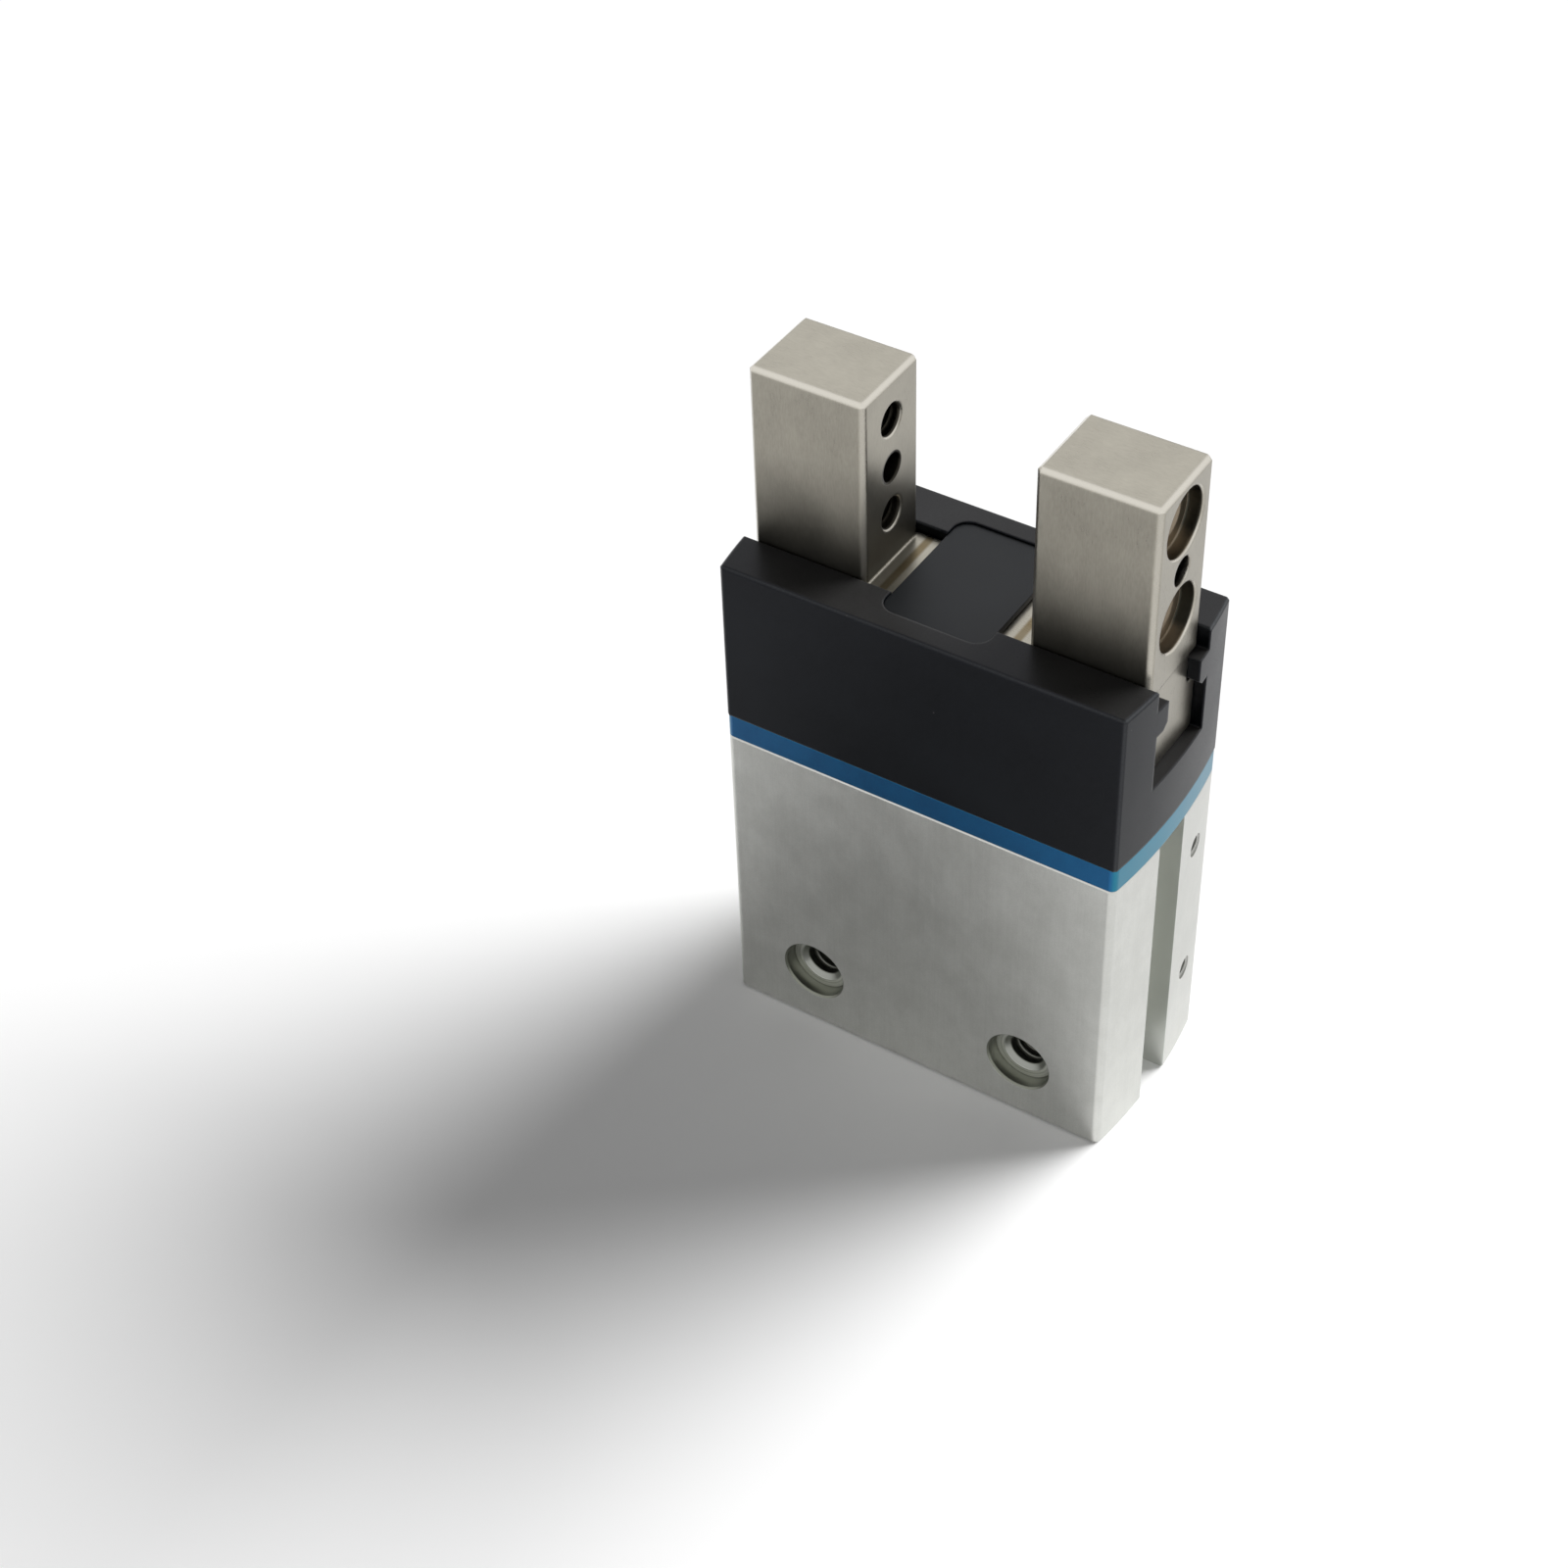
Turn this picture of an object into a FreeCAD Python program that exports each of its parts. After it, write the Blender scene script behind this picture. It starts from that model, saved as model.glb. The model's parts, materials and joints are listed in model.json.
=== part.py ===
import FreeCAD, Part
import math
import os
import Sketcher
from types import SimpleNamespace

Vector = FreeCAD.Vector

# Pneumatic parallel gripper: a round piston in an aluminium body drives two bell-crank levers, and the
# levers drive two steel jaws in the T-slot of a black cover. A blue plate closes the cylinder between body
# and cover. Millimetres. The jaws travel along X, the ports are at +X, +Z points along the fingers, and the
# origin is the middle of the base. The jaws rest a little past the middle of their stroke.

SIZES = {
    # Outline shared by body, plate and cover: flat long sides and slightly bulged ends
    "housing_depth": 27.0,
    "housing_length": 56.7,
    "end_bulge": 1.15,
    "body_height": 47.3,
    "plate_height": 3.5,
    "cover_height": 24.5,
    "corner_round": 1.0,
    "body_edge_break": 0.3,
    "cover_edge_break": 0.35,
    # Sensor grooves along both ends of the body
    "groove_width": 6.8,
    "groove_depth": 5.1,
    # Cylinder, and the seat of its end cap in the base
    "bore_diameter": 20.0,
    "cap_seat_diameter": 22.0,
    "cap_seat_depth": 7.0,
    "ring_groove_start": 1.2,
    "ring_groove_width": 1.1,
    "ring_groove_depth": 0.6,
    # Threaded holes through the long sides, each with a sleeve seat at both mouths
    "side_hole_spacing": 32.0,
    "side_hole_height": 9.3,
    "side_hole_diameter": 5.0,
    "sleeve_diameter": 9.0,
    "sleeve_depth": 2.1,
    "sleeve_edge_break": 0.25,
    "side_thread_break": 0.7,
    # Threaded holes in the base
    "base_hole_spacing": 34.0,
    "base_hole_diameter": 4.2,
    "base_hole_depth": 5.5,
    # Supply ports on the +X end
    "port_offset": 8.3,
    "lower_port_height": 15.1,
    "upper_port_height": 37.9,
    "port_thread_diameter": 2.5,
    "port_thread_depth": 6.0,
    "port_mouth_diameter": 3.3,
    "port_mouth_depth": 0.8,
    "passage_diameter": 1.6,
    # Long screws from the base into the cover
    "screw_spacing_x": 42.0,
    "screw_spacing_y": 10.4,
    "screw_diameter": 3.0,
    "screw_head_diameter": 5.5,
    "screw_head_height": 3.0,
    "screw_head_sink": 3.5,
    "screw_reach": 6.3,
    "screw_clearance": 0.2,
    "thread_clearance": 0.05,
    # Dowels on one diagonal that line up body, plate and cover
    "dowel_spacing_x": 44.0,
    "dowel_spacing_y": 19.0,
    "dowel_diameter": 3.0,
    "dowel_body_reach": 5.0,
    "dowel_cover_reach": 3.0,
    "dowel_end_gap": 0.3,
    # Fits
    "seat_clearance": 0.02,
    "running_clearance": 0.03,
    "guide_clearance": 0.05,
    "piston_clearance": 0.08,
    "moving_gap": 0.5,
    # T-slot in the cover, upwards from the cover's underside
    "slot_floor_height": 8.7,
    "foot_chamber_height": 8.5,
    "lip_height": 4.1,
    "slot_width": 13.1,
    "lip_gap": 8.3,
    "lip_edge_break": 0.9,
    "mouth_side_gap": 0.3,
    "mouth_edge_break": 0.2,
    # Plate over the middle of the slot
    "centre_plate_length": 14.8,
    "centre_plate_width": 20.4,
    "centre_plate_thickness": 0.8,
    "centre_plate_round": 2.2,
    "centre_plate_sink": 0.3,
    "centre_plate_clearance": 0.08,
    # Jaws at rest, and how far each one closes and opens from there
    "closing_travel": 3.7,
    "opening_travel": 2.8,
    "jaw_inner_end": 4.2,
    "finger_inner_face": 11.5,
    "finger_thickness": 16.3,
    "finger_width": 12.8,
    "finger_reach": 25.8,
    "finger_base_gap": 0.7,
    "finger_edge_break": 0.65,
    "foot_end_step": 0.1,
    "foot_edge_break": 0.3,
    "neck_round": 0.8,
    "shoulder_gap": 0.2,
    "tip_to_hole": 5.9,
    "jaw_hole_pitch": 7.0,
    "jaw_thread_diameter": 4.2,
    "jaw_thread_break": 0.35,
    "jaw_seat_thread_break": 0.5,
    "jaw_plain_diameter": 4.0,
    "jaw_slot_mouth": 8.4,
    "jaw_slot_grip_drop": 1.5,
    "jaw_slot_roof_gap": 0.25,
    # Bell-crank levers on their pins
    "pivot_spacing": 28.0,
    "pin_diameter": 4.0,
    "pin_length": 16.0,
    "pin_edge_break": 0.3,
    "jaw_nose_height": 13.0,
    "jaw_nose_diameter": 4.4,
    "piston_nose_offset": 5.0,
    "piston_nose_diameter": 4.0,
    "nose_clearance": 0.12,
    "lever_width": 6.0,
    "lever_side_gap": 0.3,
    "lever_hub_diameter": 7.0,
    "arm_root_width": 4.4,
    "arm_tip_width": 3.0,
    "recess_step_inset": 1.0,
    # Crosshead on the rod
    "crosshead_length": 12.8,
    "crosshead_margin": 0.5,
    "crosshead_floor": 1.6,
    "crosshead_roof": 1.7,
    "crosshead_web": 5.4,
    "crosshead_mouth_break": 0.8,
    "crosshead_screw_diameter": 3.0,
    "crosshead_screw_head": 5.6,
    "crosshead_screw_length": 13.0,
    # Rod with its bush and seal
    "rod_diameter": 8.0,
    "rod_seat_depth": 2.0,
    "bush_wall": 1.5,
    "rod_seal_width": 2.4,
    "rod_seal_height": 2.2,
    "rod_seal_ledge": 1.2,
    "seal_gap": 0.1,
    # Piston, from its boss through its lands and grooves
    "piston_boss_height": 1.9,
    "piston_boss_diameter": 16.0,
    "piston_land": 0.8,
    "piston_seal_height": 1.8,
    "piston_seal_depth": 2.0,
    "guide_ring_height": 1.5,
    "guide_ring_depth": 1.3,
    "magnet_height": 2.3,
    "magnet_depth": 2.6,
    "ring_side_gap": 0.1,
    "lip_notch": 0.8,
    "piston_screw_diameter": 5.0,
    "piston_screw_head": 8.5,
    "piston_screw_head_height": 5.0,
    "piston_screw_sink": 5.4,
    "piston_screw_grip": 9.0,
    "screw_hole_spare": 1.0,
    # End stops and seals of the cylinder
    "cap_boss_height": 5.4,
    "cap_dish_diameter": 12.0,
    "cap_dish_depth": 1.2,
    "bumper_thickness": 1.4,
    "bumper_rod_gap": 0.5,
    "bumper_outer_diameter": 16.0,
    "stop_gap": 0.17,
    "oring_section": 1.46,
    "oring_groove_depth": 1.5,
    "oring_groove_width": 2.0,
    "plate_seal_drop": 3.0,
    "cap_seal_rise": 0.8,
    "port_relief_depth": 1.5,
    "port_relief_height": 1.3,
    # Circlip below the end cap
    "circlip_width": 1.9,
    "circlip_gap": 3.0,
    "circlip_lug_diameter": 3.2,
    "circlip_lug_inset": 0.4,
    "circlip_hole_diameter": 1.5,
}

NEARLY_ZERO = 1e-6
EDGE_MATCH = 1e-3
HEXAGON_SIDES = 6
# A hexagon socket's corner distance and depth, as shares of its screw's own sizes
SOCKET_WIDTH_SHARE = 0.53
SOCKET_DEPTH_SHARE = 0.5
# Cuts that have to break through a face run this far past it
PAST_FACE = 1.0


class Size:
    """A length that keeps its formula, so that a feature can be bound to the sheet."""

    def __init__(self, value, formula):
        self.value = value
        self.formula = formula

    def __add__(self, other):
        other = as_size(other)
        return Size(self.value + other.value, f"({self.formula} + {other.formula})")

    def __sub__(self, other):
        other = as_size(other)
        return Size(self.value - other.value, f"({self.formula} - {other.formula})")

    def __mul__(self, other):
        other = as_size(other)
        return Size(self.value * other.value, f"({self.formula} * {other.formula})")

    def __truediv__(self, other):
        other = as_size(other)
        return Size(self.value / other.value, f"({self.formula} / {other.formula})")

    def __neg__(self):
        return Size(-self.value, f"(0 - {self.formula})")


def as_size(number):
    return number if isinstance(number, Size) else Size(float(number), f"{number:.9f}")


def fill_sheet(document):
    """Writes the sizes into a sheet and returns them as named values."""
    sheet = document.addObject("Spreadsheet::Sheet", "sizes")
    for row, (name, number) in enumerate(SIZES.items(), 1):
        sheet.set(f"A{row}", name)
        sheet.set(f"B{row}", str(number))
        sheet.setAlias(f"B{row}", name)
    document.recompute()
    return SimpleNamespace(**{name: Size(float(sheet.get(name)), f"sizes.{name}") for name in SIZES})


doc = FreeCAD.newDocument("gripper")
s = fill_sheet(doc)


# Sketch and feature helpers

def bind(target, path, size):
    target.setExpression(path, as_size(size).formula)


def new_body(name):
    body = doc.addObject("PartDesign::Body", name)
    body.Label = name
    return body


def new_sketch(body, plane, offset=None):
    """Adds an empty sketch on one of the body's origin planes, moved along its normal by offset."""
    sketch = body.newObject("Sketcher::SketchObject", f"{body.Name}_sketch")
    support = next(feature for feature in body.Origin.OriginFeatures if feature.Role == plane)
    sketch.AttachmentSupport = [(support, "")]
    sketch.MapMode = "FlatFace"
    if offset is not None:
        bind(sketch, "AttachmentOffset.Base.z", offset)
    return sketch


def hold_distance(sketch, kind, axis, curve, end, size):
    """Holds one coordinate of a point at its distance from the origin, on either side of it."""
    if abs(size.value) < NEARLY_ZERO:
        sketch.addConstraint(Sketcher.Constraint("PointOnObject", curve, end, axis))
        return
    if size.value > 0:
        constraint = Sketcher.Constraint(kind, -1, 1, curve, end, size.value)
    else:
        size = -size
        constraint = Sketcher.Constraint(kind, curve, end, -1, 1, size.value)
    index = sketch.addConstraint(constraint)
    bind(sketch, f"Constraints[{index}]", size)


def hold_point(sketch, curve, end, x, y):
    hold_distance(sketch, "DistanceX", -2, curve, end, as_size(x))
    hold_distance(sketch, "DistanceY", -1, curve, end, as_size(y))


def arc_between(start, stop, radius):
    """The shorter arc, anticlockwise from start to stop."""
    chord = stop - start
    rise = math.sqrt(radius ** 2 - (chord.Length / 2) ** 2)
    left = Vector(-chord.y, chord.x, 0).normalize()
    centre = (start + stop) / 2 + left * rise
    first = math.atan2(start.y - centre.y, start.x - centre.x)
    last = math.atan2(stop.y - centre.y, stop.x - centre.x)
    return Part.ArcOfCircle(Part.Circle(centre, Vector(0, 0, 1), radius), first, last)


def outline(sketch, points, arcs=None):
    """Adds a closed anticlockwise outline.

    arcs gives the radius of each side that is round, by the number of the point that it starts from:
    positive where it bulges out and negative where it rounds an inner corner.
    """
    arcs = arcs or {}
    places = [Vector(as_size(x).value, as_size(y).value, 0) for x, y in points]
    count = len(points)
    curves = []
    for number, start in enumerate(places):
        stop = places[(number + 1) % count]
        radius = as_size(arcs[number]) if number in arcs else None
        if radius is None:
            curve = sketch.addGeometry(Part.LineSegment(start, stop), False)
            curves.append((curve, 1, 2))
        elif radius.value > 0:
            curve = sketch.addGeometry(arc_between(start, stop, radius.value), False)
            curves.append((curve, 1, 2))
        else:
            curve = sketch.addGeometry(arc_between(stop, start, -radius.value), False)
            curves.append((curve, 2, 1))
    for number, (curve, first_end, last_end) in enumerate(curves):
        following, following_first, _ = curves[(number + 1) % count]
        sketch.addConstraint(Sketcher.Constraint("Coincident", curve, last_end, following, following_first))
        hold_point(sketch, curve, first_end, *points[number])
    for number, radius in arcs.items():
        radius = as_size(radius)
        radius = radius if radius.value > 0 else -radius
        index = sketch.addConstraint(Sketcher.Constraint("Radius", curves[number][0], radius.value))
        bind(sketch, f"Constraints[{index}]", radius)


def rectangle(sketch, left, right, low, high):
    outline(sketch, [(left, low), (right, low), (right, high), (left, high)])


def rounded_rectangle(sketch, half_length, half_width, radius):
    flat_x = half_length - radius
    flat_y = half_width - radius
    points = [
        (-flat_x, -half_width), (flat_x, -half_width),
        (half_length, -flat_y), (half_length, flat_y),
        (flat_x, half_width), (-flat_x, half_width),
        (-half_length, flat_y), (-half_length, -flat_y),
    ]
    outline(sketch, points, {1: radius, 3: radius, 5: radius, 7: radius})


def circle(sketch, x, y, diameter):
    diameter = as_size(diameter)
    centre = Vector(as_size(x).value, as_size(y).value, 0)
    curve = sketch.addGeometry(Part.Circle(centre, Vector(0, 0, 1), diameter.value / 2), False)
    hold_point(sketch, curve, 3, x, y)
    index = sketch.addConstraint(Sketcher.Constraint("Diameter", curve, diameter.value))
    bind(sketch, f"Constraints[{index}]", diameter)


def extrude(body, kind, sketch, length, symmetric=False, backwards=False):
    feature = body.newObject(f"PartDesign::{kind}", f"{body.Name}_{kind.lower()}")
    feature.Profile = sketch
    feature.SideType = "Symmetric" if symmetric else "One side"
    feature.Reversed = backwards
    bind(feature, "Length", length)
    return feature


def pad(body, sketch, length, symmetric=False, backwards=False):
    return extrude(body, "Pad", sketch, length, symmetric, backwards)


def pocket(body, sketch, length, symmetric=False, backwards=False):
    return extrude(body, "Pocket", sketch, length, symmetric, backwards)


def turn(body, kind, points):
    """Turns a half profile of (radius, height) points about Z: a Revolution adds and a Groove cuts."""
    sketch = new_sketch(body, "XZ_Plane")
    outline(sketch, points)
    feature = body.newObject(f"PartDesign::{kind}", f"{body.Name}_{kind.lower()}")
    feature.Profile = sketch
    feature.ReferenceAxis = (sketch, ["V_Axis"])
    feature.Angle = 360.0
    return feature


def turned_body(name, points):
    body = new_body(name)
    turn(body, "Revolution", points)
    return body


def dress_edges(body, kind, size_name, size, wanted):
    """Rounds or breaks the edges of the body's tip that wanted picks."""
    doc.recompute()
    base = body.Tip
    names = [f"Edge{number}" for number, edge in enumerate(base.Shape.Edges, 1) if wanted(edge)]
    feature = body.newObject(f"PartDesign::{kind}", f"{body.Name}_{kind.lower()}")
    feature.Base = (base, names)
    bind(feature, size_name, size)
    return feature


def round_edges(body, size, wanted):
    return dress_edges(body, "Fillet", "Radius", size, wanted)


def break_edges(body, size, wanted):
    return dress_edges(body, "Chamfer", "Size", size, wanted)


def near(first, second):
    return abs(first - as_size(second).value) < EDGE_MATCH


def lies_along(edge, axis):
    """Whether an edge is straight and parallel to the axis named x, y or z."""
    if not isinstance(edge.Curve, Part.Line):
        return False
    return near(abs(getattr(edge.Curve.Direction, axis)), 1)


def is_level(edge, axis, place):
    """Whether the whole edge lies at one place along the axis named x, y or z."""
    box = edge.BoundBox
    low = getattr(box, f"{axis.upper()}Min")
    high = getattr(box, f"{axis.upper()}Max")
    return near(low, place) and near(high, place)


def is_rim(edge, diameter):
    return isinstance(edge.Curve, Part.Circle) and near(edge.Curve.Radius * 2, diameter)


def place(body, x=None, y=None, z=None):
    for letter, size in (("x", x), ("y", y), ("z", z)):
        if size is not None:
            bind(body, f"Placement.Base.{letter}", size)


def group(name, pieces):
    compound = doc.addObject("Part::Compound", name)
    compound.Label = name
    compound.Links = pieces
    return compound


# Heights and places that more than one piece shares

half_depth = s.housing_depth / 2
half_length = s.housing_length / 2
end_radius = (half_depth * half_depth + s.end_bulge * s.end_bulge) / (s.end_bulge * 2)
plate_bottom = s.body_height
cover_bottom = plate_bottom + s.plate_height
cover_top = cover_bottom + s.cover_height
bore_radius = s.bore_diameter / 2
rod_radius = s.rod_diameter / 2

slot_floor = cover_bottom + s.slot_floor_height
lip_bottom = slot_floor + s.foot_chamber_height
lip_top = lip_bottom + s.lip_height
centre_plate_bottom = cover_top - s.centre_plate_sink - s.centre_plate_thickness

pivot_x = s.pivot_spacing / 2
pivot_z = cover_bottom + s.pin_diameter / 2
jaw_nose_z = cover_bottom + s.jaw_nose_height
jaw_arm = jaw_nose_z - pivot_z
piston_arm = pivot_x - s.piston_nose_offset
piston_down = s.closing_travel * piston_arm / jaw_arm
piston_up = s.opening_travel * piston_arm / jaw_arm
lever_slot_half = s.lever_width / 2 + s.lever_side_gap
hub_reach = s.lever_hub_diameter / 2 + s.moving_gap

cap_bottom = s.ring_groove_start + s.ring_groove_width
cap_top = s.cap_seat_depth + s.cap_boss_height
lower_bumper_top = cap_top + s.bumper_thickness
piston_bottom = lower_bumper_top + s.stop_gap + piston_down
seal_groove_height = s.piston_seal_height + s.ring_side_gap * 2
guide_groove_height = s.guide_ring_height + s.ring_side_gap * 2
magnet_groove_height = s.magnet_height + s.ring_side_gap * 2
lower_seal_groove = piston_bottom + s.piston_boss_height + s.piston_land
guide_groove = lower_seal_groove + seal_groove_height + s.piston_land
magnet_groove = guide_groove + guide_groove_height + s.piston_land
upper_seal_groove = magnet_groove + magnet_groove_height + s.piston_land
piston_top = upper_seal_groove + seal_groove_height + s.piston_land + s.piston_boss_height
upper_bumper_bottom = piston_top + piston_up + s.stop_gap
spigot_bottom = upper_bumper_bottom + s.bumper_thickness

crosshead_slot_half = s.piston_nose_diameter / 2 + s.nose_clearance
crosshead_bottom = pivot_z - crosshead_slot_half - s.crosshead_floor
crosshead_top = pivot_z + crosshead_slot_half + s.crosshead_roof
crosshead_half_length = s.crosshead_length / 2
crosshead_half_width = rod_radius + s.crosshead_margin
crosshead_pocket_floor = crosshead_bottom - piston_down - s.moving_gap

rod_bottom = piston_top - s.rod_seat_depth
rod_seal_bottom = spigot_bottom + s.rod_seal_ledge
bush_bottom = rod_seal_bottom + s.rod_seal_height + s.seal_gap * 2
bush_radius = rod_radius + s.bush_wall
rod_seal_radius = rod_radius + s.rod_seal_width
spigot_radius = bore_radius - s.piston_clearance
oring_groove_radius = bore_radius - s.piston_clearance - s.oring_groove_depth
plate_seal_top = plate_bottom - s.plate_seal_drop
cap_seal_bottom = s.cap_seat_depth + s.cap_seal_rise

screw_places = [
    (s.screw_spacing_x / 2 * x, s.screw_spacing_y / 2 * y) for x, y in ((-1, -1), (1, -1), (1, 1), (-1, 1))
]
dowel_places = [(s.dowel_spacing_x / 2 * side, s.dowel_spacing_y / -2 * side) for side in (-1, 1)]
screw_hole_diameter = s.screw_diameter + s.screw_clearance * 2
dowel_hole_diameter = s.dowel_diameter + s.seat_clearance * 2


# Pieces of the housing

def pad_housing_outline(body, bottom, height):
    sketch = new_sketch(body, "XY_Plane", bottom)
    corners = [
        (-half_length, -half_depth), (half_length, -half_depth),
        (half_length, half_depth), (-half_length, half_depth),
    ]
    outline(sketch, corners, {1: end_radius, 3: end_radius})
    pad(body, sketch, height)


def is_housing_corner(edge):
    middle = edge.CenterOfMass
    return lies_along(edge, "z") and near(abs(middle.x), half_length) and near(abs(middle.y), half_depth)


def drill_holes(body, level, diameter, places, depth, backwards=False):
    """Sinks a round hole at each place, downwards from level, or upwards where backwards is set."""
    sketch = new_sketch(body, "XY_Plane", level)
    for x, y in places:
        circle(sketch, x, y, diameter)
    return pocket(body, sketch, depth, backwards=backwards)


def make_cylinder_body():
    body = new_body("cylinder_body")
    pad_housing_outline(body, 0, s.body_height)
    round_edges(body, s.corner_round, is_housing_corner)
    break_edges(
        body, s.body_edge_break,
        lambda edge: is_level(edge, "z", 0) or is_level(edge, "z", s.body_height),
    )

    grooves = new_sketch(body, "XY_Plane")
    groove_half = s.groove_width / 2
    groove_floor = half_length + s.end_bulge - s.groove_depth
    outside = half_length + s.end_bulge + PAST_FACE
    rectangle(grooves, groove_floor, outside, -groove_half, groove_half)
    rectangle(grooves, -outside, -groove_floor, -groove_half, groove_half)
    pocket(body, grooves, s.body_height, backwards=True)

    seat_radius = s.cap_seat_diameter / 2
    ring_radius = seat_radius + s.ring_groove_depth
    turn(body, "Groove", [
        (0, 0), (seat_radius, 0),
        (seat_radius, s.ring_groove_start), (ring_radius, s.ring_groove_start),
        (ring_radius, cap_bottom), (seat_radius, cap_bottom),
        (seat_radius, s.cap_seat_depth), (bore_radius, s.cap_seat_depth),
        (bore_radius, s.body_height), (0, s.body_height),
    ])
    cut_side_holes(body)
    cut_ports(body)
    drill_holes(body, 0, screw_hole_diameter, screw_places, s.body_height, backwards=True)
    head_seat_diameter = s.screw_head_diameter + s.screw_clearance * 2
    drill_holes(body, 0, head_seat_diameter, screw_places, s.screw_head_sink, backwards=True)
    base_hole_x = s.base_hole_spacing / 2
    base_holes = [(base_hole_x, 0), (-base_hole_x, 0)]
    drill_holes(body, 0, s.base_hole_diameter, base_holes, s.base_hole_depth, backwards=True)
    drill_holes(body, plate_bottom, dowel_hole_diameter, dowel_places, s.dowel_body_reach + s.dowel_end_gap)
    return body


def cut_side_holes(body):
    """Threaded holes right through the long sides, with a sleeve seat at both mouths."""
    hole_x = s.side_hole_spacing / 2
    threads = new_sketch(body, "XZ_Plane")
    for x in (hole_x, -hole_x):
        circle(threads, x, s.side_hole_height, s.side_hole_diameter)
    pocket(body, threads, s.housing_depth + PAST_FACE, symmetric=True)
    for offset, backwards in ((half_depth, False), (-half_depth, True)):
        seats = new_sketch(body, "XZ_Plane", offset)
        for x in (hole_x, -hole_x):
            circle(seats, x, s.side_hole_height, s.sleeve_diameter)
        pocket(body, seats, s.sleeve_depth, backwards=backwards)
    break_edges(
        body, s.sleeve_edge_break,
        lambda edge: is_rim(edge, s.sleeve_diameter) and near(abs(edge.CenterOfMass.y), half_depth),
    )
    seat_floor = half_depth - s.sleeve_depth
    break_edges(
        body, s.side_thread_break,
        lambda edge: is_rim(edge, s.side_hole_diameter) and near(abs(edge.CenterOfMass.y), seat_floor),
    )


def cut_ports(body):
    """Supply ports on the +X end: a wider mouth, a short thread and a narrow passage into the cylinder."""
    end_face = half_length + s.end_bulge
    heights = (s.lower_port_height, s.upper_port_height)
    for diameter, depth in (
        (s.port_mouth_diameter, s.port_mouth_depth),
        (s.port_thread_diameter, s.port_thread_depth),
        (s.passage_diameter, end_face - s.port_offset / 2),
    ):
        sketch = new_sketch(body, "YZ_Plane", end_face)
        for height in heights:
            circle(sketch, s.port_offset, height, diameter)
        pocket(body, sketch, depth)


def make_intermediate_plate():
    body = new_body("intermediate_plate")
    pad_housing_outline(body, plate_bottom, s.plate_height)
    round_edges(body, s.corner_round, is_housing_corner)
    seal_chamber_radius = rod_seal_radius + s.seat_clearance
    seal_chamber_top = bush_bottom
    rod_hole_radius = rod_radius + s.piston_clearance
    neck_radius = bore_radius - s.port_relief_depth
    neck_top = s.upper_port_height + s.port_relief_height
    plate_seal_bottom = plate_seal_top - s.oring_groove_width
    bush_seat_radius = bush_radius + s.seat_clearance
    turn(body, "Revolution", [
        (0, crosshead_pocket_floor), (bush_seat_radius, crosshead_pocket_floor),
        (bush_seat_radius, seal_chamber_top), (seal_chamber_radius, seal_chamber_top),
        (seal_chamber_radius, rod_seal_bottom), (rod_hole_radius, rod_seal_bottom),
        (rod_hole_radius, spigot_bottom), (neck_radius, spigot_bottom),
        (neck_radius, neck_top), (spigot_radius, neck_top),
        (spigot_radius, plate_seal_bottom), (oring_groove_radius, plate_seal_bottom),
        (oring_groove_radius, plate_seal_top), (spigot_radius, plate_seal_top),
        (spigot_radius, plate_bottom), (0, plate_bottom),
    ])
    crosshead_pocket = new_sketch(body, "XY_Plane", cover_bottom)
    half_long = crosshead_half_length + s.moving_gap
    half_wide = bush_seat_radius + s.seat_clearance
    rectangle(crosshead_pocket, -half_long, half_long, -half_wide, half_wide)
    pocket(body, crosshead_pocket, cover_bottom - crosshead_pocket_floor)

    # The levers dip deepest over the spigot; the thin rim outside it needs a shallower recess
    recess_step = spigot_radius - s.recess_step_inset
    for start, end in ((crosshead_half_length, recess_step), (recess_step, pivot_x + hub_reach)):
        arm_drop = s.arm_root_width / 2 + piston_down * (pivot_x - start) / piston_arm
        lever_recess = new_sketch(body, "XY_Plane", cover_bottom)
        rectangle(lever_recess, start, end, -lever_slot_half, lever_slot_half)
        rectangle(lever_recess, -end, -start, -lever_slot_half, lever_slot_half)
        pocket(body, lever_recess, cover_bottom - pivot_z + arm_drop + s.moving_gap)

    drill_holes(body, cover_bottom, screw_hole_diameter, screw_places, s.plate_height)
    drill_holes(body, cover_bottom, dowel_hole_diameter, dowel_places, s.plate_height)
    return body


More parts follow.
